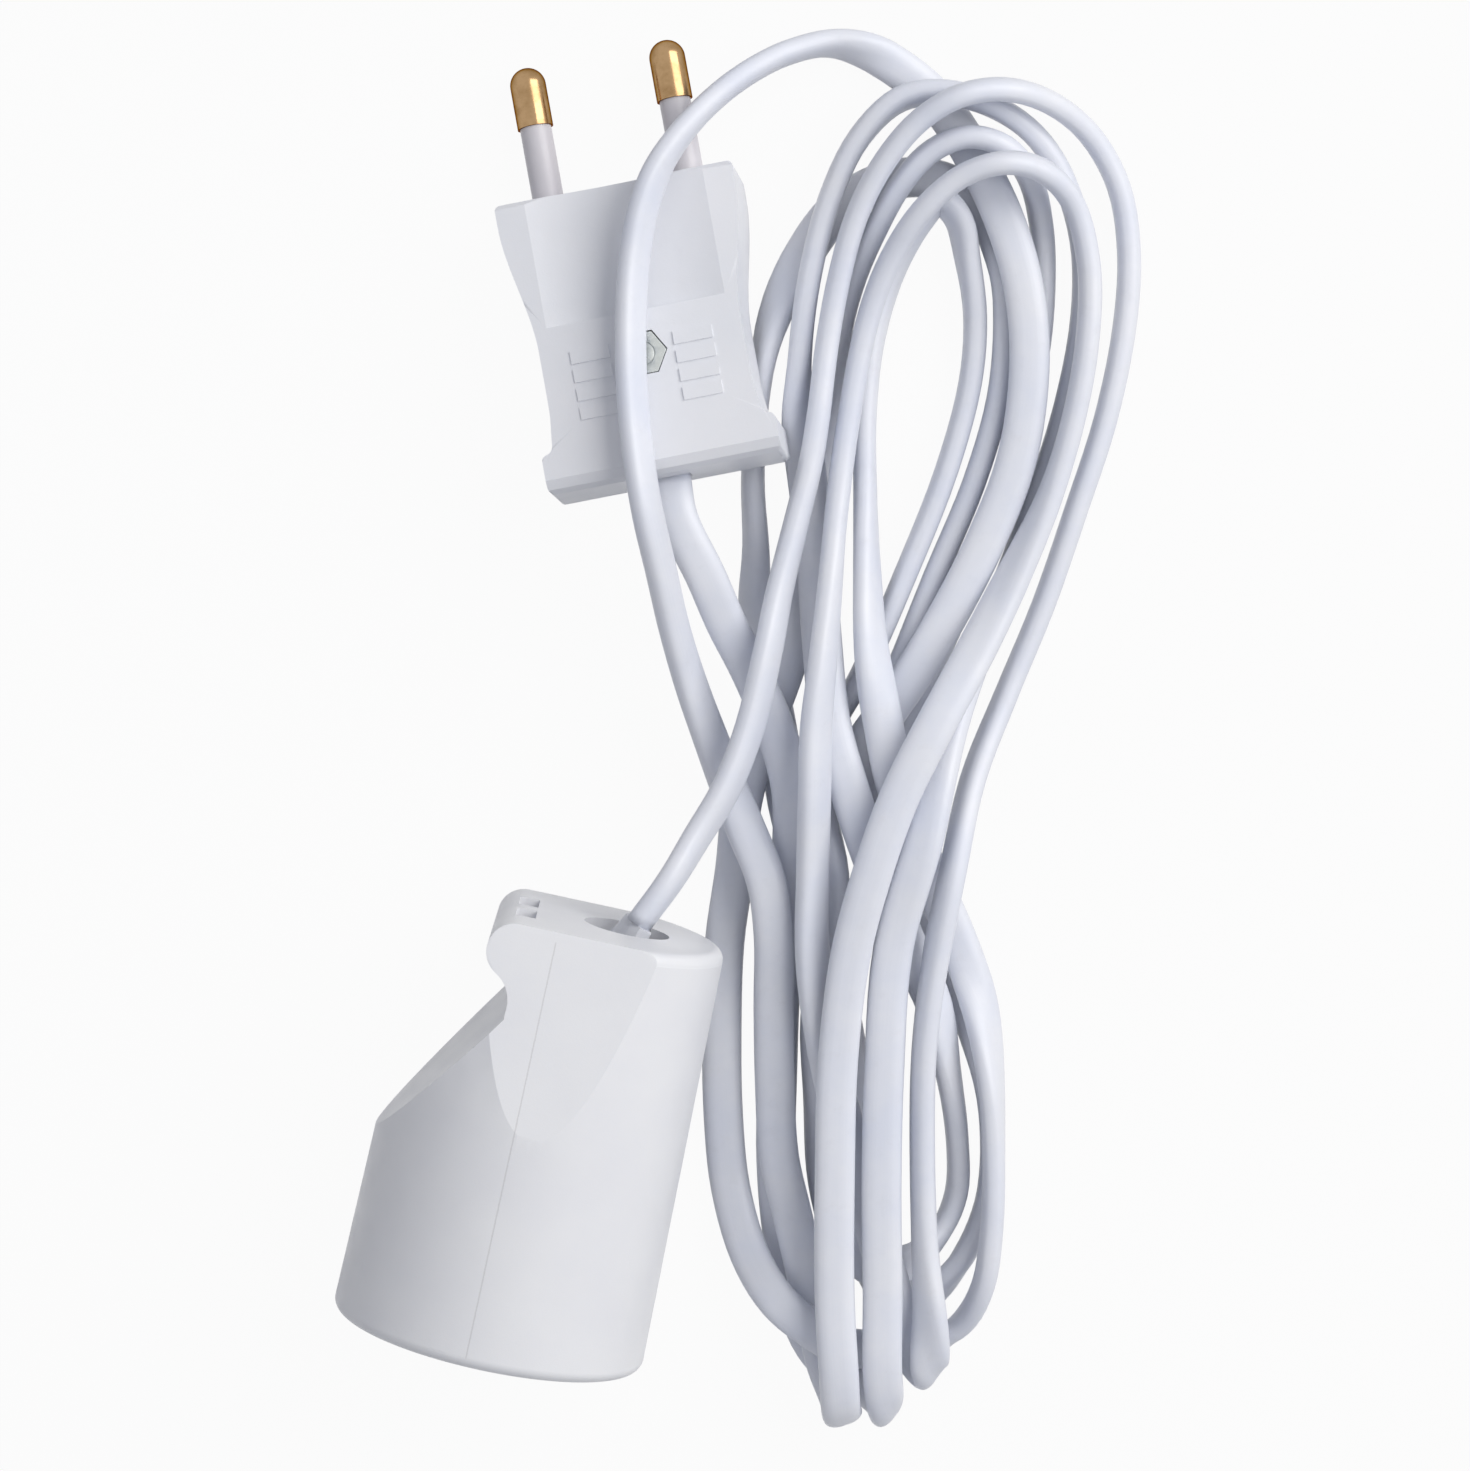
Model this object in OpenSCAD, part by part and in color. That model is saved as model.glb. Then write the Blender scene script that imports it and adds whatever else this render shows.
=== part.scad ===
// Household extension lead: a flat two-pin plug, a round coupler with a hook,
// and a flat twin cord put away as a loose hank.
// +Z is up, +Y runs along the coupler from its mouth to its cord entry, and the
// origin lies under the middle of the coupler, on the surface it rests on.

/* [Coupler] */
// Outer radius at the mouth
hood_r = 21; // [20:0.5:23]
// Outer radius at the cord entry, less by the moulding draft
hood_entry_r = 19.9; // [19:0.1:20]
// Length from the mouth to the cord entry
hood_l = 57.8; // [54:0.2:62]
// Wall round the insert
hood_wall = 2.7; // [2.2:0.1:3.2]
// Rounding of the mouth and entry edges
hood_edge_r = 1.6; // [1:0.1:2]
// From the mouth to where the slanted cut starts
cut_start = 25.4; // [24:0.2:27]
// From the mouth to the end of the slanted cut
cut_end = 45.5; // [44:0.5:47]
// Depth of the neck under the hook, from the coupler's axis
neck_x = 6.6; // [6:0.2:7.4]
// Reach of the hook's nose, from the coupler's axis
hook_x = 10.8; // [10:0.2:12]
// Radius of the finger notch under the hook
notch_r = 4.6; // [4:0.1:5]
// Rounding where the notch runs out into the slanted cut
hook_edge_r = 2; // [1:0.2:2.4]
// From the mouth to the start of the two flats
flat_start = 31; // [29:0.5:33]
// Thickness over the flats at the cord entry
flat_t = 32.4; // [32:0.2:34]
// Bore that the cord enters through
entry_bore = 11.5; // [10.5:0.5:12]
// Distance of the cord bore from the coupler's axis
entry_x = 6.6; // [6:0.2:8]
// Depth of the two moulding pockets beside the hook
pocket_depth = 5; // [3:0.5:6]

/* [Coupler insert] */
// Depth of the recess that takes the plug
recess_depth = 10; // [9:0.5:12]
// Thickness of the socket face
face_t = 4; // [3.5:0.5:5]
// Distance between the two pin holes
pin_gap = 19; // [18.8:0.1:19.2]
// Bore of each pin hole
pin_hole = 5.2; // [5.1:0.1:5.4]
// Travel of the shutter that covers the pin holes
shutter_travel = 5.6; // [5.5:0.1:6]
// Thickness of the shutter
shutter_t = 1.6; // [1.4:0.1:2]
// Length of the contact carrier's body
carrier_l = 12.5; // [12:0.5:14]
// Width of the contact carrier's body
carrier_w = 28; // [27:0.5:29]
// Thickness of the contact carrier's body
carrier_t = 16; // [15:0.5:17]
// Thickness of the contact carrier's flange
flange_t = 3.5; // [3.2:0.1:4]
// Width of the shutter
shutter_w = 25; // [24:0.5:26]
// Height of the shutter
shutter_h = 12.4; // [12:0.1:12.8]
// Outer radius of a contact tube
contact_r = 3.1; // [3:0.1:3.3]
// Width of a contact's terminal block
tab_w = 6; // [5.5:0.1:6.2]
// Length of a contact's terminal block
tab_l = 4.5; // [4:0.1:4.8]
// Thickness of a contact's terminal block
tab_t = 5; // [4.5:0.1:5.4]
// From the carrier's end to the middle of a terminal screw
terminal_y = 2.2; // [2:0.1:2.4]
// Thread radius of a terminal screw
terminal_r = 1.2; // [1:0.1:1.3]
// Radius of the sinking for the insert's screw
sinking_r = 3.1; // [3:0.1:3.3]
// Running clearance round the pieces of the insert
insert_gap = 0.15; // [0.1:0.05:0.2]

/* [Plug] */
// Length of the plug's body
plug_l = 39; // [37:0.5:42]
// Width at the pins
plug_front_w = 32; // [31:0.5:34]
// Width at the waist
plug_waist_w = 27; // [26:0.5:29]
// Width of the rear flange
plug_flange_w = 31.2; // [30.5:0.1:33]
// Length of the rear flange
plug_flange_l = 5; // [4:0.5:6]
// Thickness of the plug's body
plug_t = 14.6; // [14:0.2:16]
// Depth of the finger scoop in each face
scoop_depth = 1.4; // [0.8:0.1:1.6]
// Width of the finger scoop
scoop_w = 24; // [22:0.5:26]
// Length of the finger scoop from the front
scoop_l = 17.4; // [16:0.5:18]
// Width across the flats of the hexagonal nut
nut_af = 5.5; // [5:0.1:6]
// Height of the nut
nut_h = 2.4; // [2:0.1:2.6]
// Thread diameter of the assembly screw
screw_d = 3; // [2.5:0.1:3.2]
// Running clearance round the pieces inside the plug
plug_gap = 0.15; // [0.1:0.05:0.2]

/* [Contact pins] */
// Diameter of the brass pins
pin_d = 4.8; // [4.7:0.05:4.9]
// Length of a pin in front of the plug
pin_l = 19; // [18.5:0.1:19.5]
// Length of a pin's foot inside the plug
pin_foot = 13; // [12:0.5:14]
// Bare brass length at the tip
pin_bare = 8.2; // [7.5:0.1:9]
// Diameter over the insulating sleeve
sleeve_d = 4.2; // [4.1:0.05:4.4]
// Diameter of a pin under its sleeve
pin_core_d = 3.4; // [3.2:0.1:3.5]

/* [Cord] */
// Width of the flat twin cord
cord_w = 5.4; // [5:0.1:5.6]
// Thickness of the flat twin cord
cord_t = 3.2; // [3:0.1:3.4]

/* [Lay] */
// How far the plug's tips are turned from +Y
plug_turn = 22.7; // [18:0.1:24]
// How far the plug's nose dips
plug_pitch = 12; // [11:0.5:14]
// How far the plug is rolled over, its right side up
plug_roll = -4; // [-12:1:0]
// How far the hank's length is turned from the coupler's axis
hank_turn = 12.3; // [12:0.1:13]
// Slant of the cord where it leaves the coupler
entry_slant = 24; // [15:1:30]

/* [Hidden] */
$fn = 48;
white = "#eceef2";
brass = "#c9a04e";
steel = "#a9adb2";
brown = "#6b4028";
blue = "#2f66b0";

// The cord's route, from the plug to the coupler, chosen by eye. Each point is
// [across, along, height, roll]: along is the hank's length, and the cord lies flat at
// roll 0 and stands on its edge at roll 90. The plug's and coupler's ends are added below.
HANK_ORIGIN = [15.6, 54.8]; // the hank's middle in the part's frame
PLUG_REAR = [-8.5, 35.9, 15.3]; // where the cord leaves the plug, in the hank's frame

PLUG_LEAD = [
    [-4, 23.2, 15.4, 0], [-1.2, 16.5, 12.8, 0], [2, 10, 10.2, 0], [4.6, 4, 10.4, 0],
    [6.8, -2.6, 9.4, 0], [7.7, -8, 7.8, 0]];
HANK = [
    // 1: the plug's lead goes down under the left loop and folds up over the end
    [7.6, -16, 6.2, 0], [7, -24, 5, 0], [6.2, -34, 3, 0], [5.8, -46, 1.8, 0],
    [5.6, -58, 1.8, 0], [6.4, -68, 1.8, 0], [8, -77, 1.8, 0], [10.8, -84, 1.8, 0],
    [14.6, -88, 1.8, 0], [18, -89.6, 2.4, 0], [20, -90.8, 4.6, 0], [20.6, -91.4, 8, 0],
    [20.3, -89.4, 11.8, 0], [19.9, -85, 13.8, 0], [19.9, -74, 13.9, 0], [19.7, -60, 13.9, 0],
    [20, -44, 13.8, 0], [21.2, -27, 13.8, 0], [25, -13, 14.8, 30],
    // up the right run under the front loop, over the top and down on the left
    [28.8, 2, 10.2, 60], [33.6, 14, 4.4, 80], [39, 28, 2.8, 90], [44.2, 44, 2.8, 90],
    [46.6, 57, 2.8, 90], [46.4, 67, 2.8, 90], [43.8, 75.4, 3.2, 90], [39.8, 81.2, 4.8, 90],
    [34, 85, 6.6, 80], [28, 86.6, 7.2, 70], [22, 85.8, 7.2, 80], [16.6, 80.8, 7, 90],
    [12.6, 72.6, 7.1, 90], [9.9, 62, 7.1, 90], [8.7, 52, 6.2, 80], [8.5, 44, 5.9, 30],
    // 2: across the waist and round the inner loop at the lower right
    [9.6, 36, 5.9, 0], [10.8, 26, 7.4, 0], [11.6, 14, 9.9, 0], [12.8, 3, 10.8, 0],
    [15.6, -7, 11.4, 0], [19, -17, 9.9, 10], [23, -27, 8.2, 20], [27, -36, 7.8, 50],
    [28.9, -45, 5.3, 85], [30.3, -55, 3.4, 90], [30.2, -62.6, 3, 90], [27.8, -68, 3.8, 70],
    [23.8, -71.4, 6, 10], [19, -72.2, 6.1, 0], [15, -68.4, 5.3, 10], [12.4, -61, 3, 50],
    [11.2, -51, 2.8, 80], [11, -41, 5, 40], [12.2, -29, 6.4, 30], [13.4, -18, 6.8, 80],
    [12.2, -10, 4.6, 85], [11.7, -4.4, 3, 90], [13.2, 1.4, 2.8, 90], [17, 8.4, 2.8, 90],
    [23, 22.2, 2.8, 90], [28.4, 36, 2.8, 90], [31.6, 48, 2.8, 90], [32.2, 57, 3, 85],
    [31, 65, 4.4, 70], [29.7, 70, 6.2, 60], [27.2, 72.4, 7, 60], [24.4, 69.6, 6.4, 60],
    [21.1, 63.2, 4.2, 75], [18.6, 54, 2.9, 90], [17.5, 44, 2.8, 90],
    // 3: down beside the front loop, across the waist and round the outer loop
    [17.5, 34, 3.6, 80], [17.7, 24, 6.6, 60], [18.2, 13, 11.2, 30], [19.6, 4, 12, 0],
    [21.4, -5, 10.6, 0], [23.8, -12, 8.6, 0], [27, -20, 6.8, 0], [30.4, -28, 6, 0],
    [33.2, -36.5, 6.6, 50], [34.6, -46, 8.8, 80], [35, -56, 9, 90], [34.8, -66, 9, 90],
    [33.8, -74, 8, 90], [31.2, -80, 4.6, 80], [27, -83.4, 2.2, 20], [22.6, -84, 2.4, 0],
    [18.2, -83.5, 6.4, 0], [14.4, -82.2, 9.7, 0], [10.4, -80, 9.4, 0], [5.8, -76.2, 9, 0],
    [2, -70.6, 5.2, 0], [-0.6, -62, 2.1, 0], [-1.6, -52, 1.8, 0], [-1.8, -40, 1.8, 0],
    [-1.4, -28, 1.8, 0], [0, -18, 1.8, 0], [1, -8.6, 3.4, 0], [3.6, 1, 6.2, 0],
    // up the left run, over the top and down under the flat run
    [7.2, 11.4, 6.2, 0], [9.3, 22, 3.6, 0], [10.6, 31.4, 2, 0], [12.2, 41, 1.9, 10],
    [13.3, 51, 2.8, 90], [15.7, 61, 3.4, 90], [19, 69, 6, 90], [22.4, 75, 7.4, 90],
    [26.2, 79, 8.4, 90], [30.8, 80.8, 9.2, 90], [35.6, 79.6, 9, 90], [39.2, 75.4, 6, 90],
    [41, 69, 3, 90], [41.4, 62, 2.8, 90], [40.8, 53, 2.8, 90], [39, 44, 2.8, 90],
    [35.6, 31, 2.8, 90],
    // 4: across the waist under everything and round the lowest loop
    [30.4, 18, 2.8, 90], [25.8, 7.6, 2.8, 90], [22.8, 1, 2.8, 90], [21.7, -4.4, 2.8, 90],
    [21.8, -11, 2.8, 80], [23.6, -19, 2.2, 20], [26.8, -28, 1.8, 0], [31.6, -36.4, 2.2, 20],
    [34, -45, 2.8, 80], [35, -55, 2.8, 90], [34.3, -64, 2.8, 90], [31.2, -71.4, 2.8, 80],
    [27.3, -76, 2.2, 20], [22.8, -77.6, 1.8, 0], [19.4, -74, 1.8, 0], [18.4, -66, 1.8, 0],
    [17.4, -57, 1.8, 0], [16, -47, 1.8, 0], [14.4, -38, 1.8, 0], [12.4, -29, 1.8, 0],
    [9.8, -19, 1.8, 0], [7.1, -9, 1.8, 0], [5.9, 0, 1.8, 0], [4.2, 9, 1.9, 10],
    [2.8, 18, 2.6, 60], [2.8, 26, 2.8, 80], [2.4, 35, 2.8, 90], [3, 45, 2.8, 90],
    [4.7, 55, 2.4, 40], [8.6, 64, 1.8, 0], [13.6, 71, 1.8, 0], [19.4, 74.6, 1.8, 0],
    [25.4, 75.4, 1.8, 0], [30.4, 73.6, 1.8, 0], [34.2, 70, 1.8, 10], [35.8, 64, 2.8, 80],
    // 5: down to the waist, folded up and back along the flat run
    [36.2, 56, 2.8, 90], [35.4, 46, 2.8, 90], [32.2, 34.6, 2.8, 90], [27, 22, 2.8, 90],
    [21.4, 8, 2.8, 90], [18.4, 1.4, 2.8, 85], [17.1, -3, 2.6, 45], [16.8, -6.4, 2.8, 10],
    [17, -7.8, 5, 0], [16.9, -5.8, 7.3, 0], [17.2, -1, 7.6, 0], [20.4, 4, 7.6, 0],
    [24.4, 10, 7.6, 0], [29.4, 18.6, 7.6, 0], [34, 28, 7.6, 0], [37.4, 37, 7.6, 0],
    [39, 46, 7.6, 0], [39.2, 55, 7.6, 0], [38, 63, 7.6, 0], [35.6, 70.4, 7.4, 0],
    [32.8, 76.4, 5.2, 0], [30, 81.4, 3, 0], [26.6, 86, 1.8, 0],
    // 6: the big left loop, over the plug and back under the coupler's lead
    [22, 89.8, 1.9, 10], [17.6, 92.2, 2.6, 50], [12.6, 93.2, 2.8, 80], [7.2, 92, 4.6, 80],
    [2, 89.4, 8, 80], [-3, 85.6, 12.4, 80], [-7.4, 80.8, 16.2, 70], [-10.4, 76, 18.2, 60],
    [-12.2, 70.6, 19, 60], [-13.2, 64.6, 19.4, 60], [-13.6, 58, 20.6, 60],
    [-13.6, 51, 22.2, 60], [-13.2, 44.6, 23.6, 60], [-12.4, 38, 25, 60],
    [-11.4, 32, 25, 60], [-9.8, 24.6, 21.6, 60], [-8, 16, 16.4, 60], [-5.8, 8, 12, 50],
    [-3, 0, 10, 40], [-0.8, -6, 9, 30], [1.6, -12, 9, 10], [4.2, -18.6, 9.6, 0],
    [5.2, -26, 8.8, 0], [5.2, -36, 6.6, 0], [5.4, -47, 5.6, 0], [6, -57, 5.6, 0],
    [7.8, -65, 5.6, 0], [9.4, -72, 5.6, 0], [11, -79.6, 5.5, 0], [12.5, -86, 5.5, 0],
    // folded up over the end, and up the front run to the top
    [14.1, -90, 6.6, 0], [14.6, -91.6, 9.8, 0], [14.3, -90, 13.2, 0], [14, -85, 14.9, 0],
    [13.4, -74, 14.9, 0], [13.4, -58, 14.8, 0], [13.8, -42, 14.8, 0], [15.4, -28, 15.6, 0],
    [18, -17.6, 16.4, 0], [21.8, -6.6, 16.4, 0], [26.6, 3, 15.6, 10], [32, 12.6, 12.6, 30],
    [37.2, 22.6, 9.8, 60], [42.2, 33.6, 8.8, 90], [45.4, 44.6, 8.8, 90], [47, 55, 8.8, 90],
    [47, 64, 8.8, 90], [44.8, 72, 10, 90], [40.4, 76.4, 13.8, 90], [35.4, 77.4, 15.4, 90],
    [29.8, 75.6, 14.6, 90], [24.6, 71, 13.2, 90], [20.6, 64.6, 10.6, 90], [17.8, 57, 8.8, 90],
    // 7: down the front run on the left and under it to the lower right
    [15.4, 45, 8.8, 90], [13.6, 32, 10.4, 90], [12.6, 21, 13.4, 70], [11.6, 11, 15.2, 60],
    [10.8, 3, 15.6, 50], [10.6, -6, 15.2, 50], [10.4, -17, 12.8, 50], [10.4, -28, 11.6, 40],
    [11.8, -39, 10.8, 30], [14, -49, 9.6, 10], [16.8, -59, 9.9, 0], [19.4, -68, 10.3, 0],
    [21.4, -75, 10.2, 0], [22.8, -80, 8.8, 0], [24.2, -83.8, 7.8, 0], [26, -85.8, 9.4, 0],
    [26.3, -84.2, 12, 30], [26.3, -78, 13.6, 60], [25.6, -68, 12.8, 80], [25.2, -54, 12.6, 80],
    [25.4, -41, 13.2, 80], [26.8, -29, 13.4, 70], [29.1, -17, 13, 75], [32, -5, 8, 80],
    [36.6, 6, 4, 90], [41.6, 18, 2.8, 90], [46, 31, 2.8, 90], [49.8, 43, 2.8, 90],
    [52.2, 55, 2.8, 90], [52.8, 65, 2.8, 90], [51.4, 74, 2.8, 90], [47.4, 81, 4.4, 90],
    [41.6, 85.4, 8.4, 90], [35.4, 87, 12.4, 90], [29.8, 86.2, 13.9, 90], [24.4, 83, 13, 90],
    [19.8, 77.6, 11.8, 90], [16.2, 70.6, 10.4, 90], [13.8, 62, 9.6, 90], [12.2, 53, 9.6, 90]];
COUPLER_LEAD = [
    [11.1, 44, 10.9, 85], [10.1, 37.8, 11.2, 80], [8.6, 31.6, 11.7, 75], [6, 21, 13.2, 65],
    [4.5, 13.6, 15.4, 60], [2, 3, 16.4, 60], [-1.2, -5.2, 17.6, 60], [-5, -11.4, 18.8, 65]];

// ---- small helpers, in the coupler's frame: s is the distance from the mouth ----
module at(s, x = 0, z = 0) translate([x, s - hood_l / 2, hood_r + z]) children();
module rod(r, l, r2 = -1) rotate([-90, 0, 0]) cylinder(r1 = r, r2 = r2 < 0 ? r : r2, h = l);
module bar(w, l, t) translate([-w / 2, 0, -t / 2]) cube([w, l, t]);
module both(x) { translate([x, 0, 0]) children(); translate([-x, 0, 0]) children(); }

// Coupler insert, set out from the mouth
clamp_x = 6;
face_r = hood_r - hood_wall - insert_gap;
flange_s = recess_depth + face_t;
body_s = flange_s + flange_t;
body_end = body_s + carrier_l;
contact_s = body_s + 0.5;
contact_l = body_end - 1 - contact_s;
shutter_low = shutter_h - pin_hole / 2 - 0.6;
cut_slope = (cut_end - cut_start) / (hood_r - 0.5 - neck_x);
function cone_r(s) = hood_r + (hood_entry_r - hood_r) * s / hood_l;

// The hood's outline seen from above, with the slanted cut and the hook
nose_r = 3.6;
nose = [nose_r - hook_x, hood_l - nose_r];
notch_x = -neck_x - notch_r;
notch = [notch_x, nose.y - sqrt(pow(nose_r + notch_r, 2) - pow(nose.x - notch_x, 2))];
tangent = notch + (nose - notch) * notch_r / (nose_r + notch_r);
reach = hood_r + 5;
module hood_outline() {
    difference() {
        union() {
            polygon([[reach, -1], [reach, hood_l], [nose.x, hood_l], nose, tangent, notch,
                [-neck_x, cut_end], [-neck_x - 25, cut_end - 25 * cut_slope], [-neck_x - 25, -1]]);
            translate(nose) circle(nose_r);
        }
        translate(notch) circle(notch_r);
    }
}
module hood_turned() {
    rotate([-90, 0, 0]) rotate_extrude($fn = 96) {
        polygon([[0, 0], [hood_r - hood_edge_r, 0], [hood_r, hood_edge_r],
            [cone_r(hood_l - hood_edge_r), hood_l - hood_edge_r],
            [hood_entry_r - hood_edge_r, hood_l], [0, hood_l]]);
        translate([hood_r - hood_edge_r, hood_edge_r]) circle(hood_edge_r, $fn = 32);
        translate([hood_entry_r - hood_edge_r, hood_l - hood_edge_r]) circle(hood_edge_r, $fn = 32);
    }
}
flat_fall = (cone_r(flat_start) - flat_t / 2) / (hood_l - flat_start);
module hood_flats() {
    top0 = flat_t / 2 + flat_fall * (hood_l + 1);
    top1 = flat_t / 2 - flat_fall;
    translate([-30, 0, 0]) rotate([90, 0, 90]) linear_extrude(60)
        polygon([[-1, top0], [hood_l + 1, top1], [hood_l + 1, -top1], [-1, -top0]]);
}
module socket_hood() color(white) difference() {
    at(0) intersection() {
        hood_turned();
        translate([0, 0, -30]) linear_extrude(60)
            offset(r = hook_edge_r) offset(r = -hook_edge_r) hood_outline();
        hood_flats();
    }
    at(-1) rod(hood_r - hood_wall, body_s + 1.15);
    at(1) bar(carrier_w + 2 * insert_gap, body_end + 1, carrier_t + 2 * insert_gap);
    at(body_end) translate([-11.8, 0, -6]) cube([23.6, 5.5, 12]);
    at(body_end + 4) translate([-10.2, 0, -6]) cube([22, 4.2, 12]);
    at(body_end + 4.5, entry_x) rod(9.5, hood_l - body_end - 7.7);
    at(hood_l - 10, entry_x) rod(entry_bore / 2, 12);
    at(hood_l - pocket_depth + 1, -6.8) translate([-1.35, 0, 1.5]) cube([2.7, pocket_depth, 7]);
    at(hood_l - pocket_depth + 1, -6.8) translate([-1.35, 0, -8.5]) cube([2.7, pocket_depth, 7]);
}
module socket_face() color(white) difference() {
    at(recess_depth) rod(face_r, face_t);
    both(pin_gap / 2) at(recess_depth - 1) rod(pin_hole / 2, face_t + 2);
    at(recess_depth - 1) rod(screw_d / 2 + 0.1, face_t + 2);
    at(recess_depth - 1) rod(sinking_r, face_t / 2 + 1);
}
module contact_carrier() color(white) difference() {
    union() {
        at(flange_s) rod(face_r, flange_t);
        at(body_s - 1) bar(carrier_w, carrier_l + 1, carrier_t);
        at(body_end - 1, clamp_x) translate([-5.7, 0, -5.8]) cube([11.4, 20, 2.7]);
    }
    both(pin_gap / 2) at(flange_s - 1) rod(contact_r + insert_gap, body_end - flange_s + 2);
    // pocket that the shutter slides in, and the channel of its spring
    at(flange_s - 1) translate([-shutter_w / 2 - insert_gap, 0, -shutter_low - 0.2])
        cube([shutter_w + 2 * insert_gap, shutter_t + 1.3, shutter_h + shutter_travel + 0.4]);
    at(flange_s - 1) translate([-1.3, 0, 0]) cube([2.6, 3.5, 11.2]);
    at(flange_s - 1) rod(screw_d / 2, 12);
    both(4.2) at(body_end + 15, clamp_x, -6.5) cylinder(r = 1, h = 4);
}
module contact(x) color(brass) at(0, x) {
    difference() {
        translate([0, contact_s, 0]) rod(contact_r, contact_l);
        translate([0, contact_s - 1, 0]) rod(pin_hole / 2 - 0.05, contact_l);
        translate([-0.4, contact_s - 1, -contact_r - 1]) cube([0.8, contact_l - 2, 2 * contact_r + 2]);
    }
    translate([0, contact_s + contact_l - 0.5, 0]) rod(contact_r - 0.7, 2);
    difference() {
        translate([x < 0 ? 1 : -1, body_end, 0]) bar(tab_w, tab_l, tab_t);
        translate([x < 0 ? 1 : -1, body_end + terminal_y, -0.5]) cylinder(r = terminal_r, h = tab_t);
    }
}
module contact_left() contact(-pin_gap / 2);
module contact_right() contact(pin_gap / 2);
module cheese_screw(r, l, head, head_h) {
    cylinder(r = r, h = l);
    difference() {
        translate([0, 0, l]) cylinder(r = head, h = head_h);
        translate([-head - 1, -0.3, l + head_h - 0.7]) cube([2 * head + 2, 0.6, 1]);
    }
}
module socket_terminal_screws() color(steel) both(pin_gap / 2 - 1)
    at(body_end + terminal_y, 0, -0.4) cheese_screw(terminal_r, tab_t / 2 + 0.4, terminal_r + 0.7, 1.4);
// The plate that covers both pin holes until both pins push it aside
module child_shutter() color(white) difference() {
    at(flange_s + 0.15) translate([-shutter_w / 2, 0, -shutter_low])
        cube([shutter_w, shutter_t, shutter_h]);
    both(pin_gap / 2) at(flange_s - 1, 0, -shutter_travel) rod(pin_hole / 2 + 0.05, shutter_t + 3);
    at(flange_s - 1) translate([-1.8, 0, -shutter_travel - 1.8])
        cube([3.6, shutter_t + 3, shutter_travel + 3.6]);
}
module shutter_spring() color(steel) at(flange_s + 1.2) {
    n = 60;
    turns = 5;
    path = [for (i = [0:n]) [0.8 * cos(360 * turns * i / n), 0.8 * sin(360 * turns * i / n),
        3.4 + 7.6 * i / n]];
    wide = [for (i = [0:n]) [cos(360 * turns * i / n), sin(360 * turns * i / n), 0]];
    skin(path, wide, ring(0.4, 0.4, 6));
}
module socket_assembly_screw() color(steel) at(recess_depth) difference() {
    union() {
        translate([0, 0.3, 0]) rod(3, 1.7);
        rod(0.1, 0.5);
        translate([0, 1, 0]) rod(screw_d / 2, 12);
    }
    translate([-0.4, -1, -4]) cube([0.8, 2, 8]);
}
module socket_cord_clamp() color(white) difference() {
    at(body_end + 13, clamp_x, cord_t - 1.9) bar(11.4, 4, 2.4);
    both(4.2) at(body_end + 15, clamp_x, -2) cylinder(r = 1.1, h = 6);
}
module socket_clamp_screws() color(steel) both(4.2) at(body_end + 15, clamp_x, -5.6)
    cheese_screw(1, cord_t + 4.9, 1.7, 1.3);

// ---- swept shapes ----
function unit(v) = v / norm(v);
function ring(w, t, n) = [for (k = [0:n - 1]) [w / 2 * cos(360 * k / n), t / 2 * sin(360 * k / n)]];
function oval6() = [[cord_w / 2, 0], [cord_w / 4, cord_t / 2], [-cord_w / 4, cord_t / 2],
    [-cord_w / 2, 0], [-cord_w / 4, -cord_t / 2], [cord_w / 4, -cord_t / 2]];
function oval8() = [for (sx = [[1, -0.6], [1, 0.6], [0.5, 1], [-0.5, 1], [-1, 0.6], [-1, -0.6],
    [-0.5, -1], [0.5, -1]]) [sx.x * cord_w / 2, sx.y * cord_t / 2]];
function along(p) = [for (i = [0:len(p) - 1])
    let (a = p[max(i - 1, 0)], b = p[min(i + 1, len(p) - 1)]) unit([b.x - a.x, b.y - a.y, b.z - a.z])];
function flatwise(t) = norm([t.x, t.y]) < 0.001 ? [1, 0, 0] : unit([t.y, -t.x, 0]);
function aim(t, roll) = flatwise(t) * cos(roll) + cross(flatwise(t), t) * sin(roll);
function carry(w, t, roll) = let (a = unit(w - t * (w * t)), b = aim(t, roll),
    k = 2 * (t.x * t.x + t.y * t.y)) unit(a + b * (a * b < 0 ? -k : k));
function widths(p, t) = [for (i = 0, w = aim(t[0], p[0][3]); i < len(p);
    i = i + 1, w = i < len(p) ? carry(w, t[i], p[i][3]) : w) w];
module skin(p, wide, shape) {
    t = along(p);
    n = len(shape);
    m = len(p);
    pts = [for (i = [0:m - 1]) let (w = unit(wide[i] - t[i] * (wide[i] * t[i])), h = cross(t[i], w))
        for (q = shape) [p[i].x, p[i].y, p[i].z] + w * q.x + h * q.y];
    sides = [for (i = [0:m - 2]) for (k = [0:n - 1]) let (l = (k + 1) % n)
        each [[i * n + k, i * n + n + k, i * n + n + l], [i * n + k, i * n + n + l, i * n + l]]];
    caps = [[for (k = [0:n - 1]) k], [for (k = [n - 1:-1:0]) (m - 1) * n + k]];
    polyhedron(pts, concat(caps, sides));
}
module cord(p, shape) {
    skin(p, widths(p, along(p)), shape);
}
module core(p, colour) {
    color(colour) skin(p, [for (q = p) [0, 0, 1]], ring(1.8, 1.8, 8));
}

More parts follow.
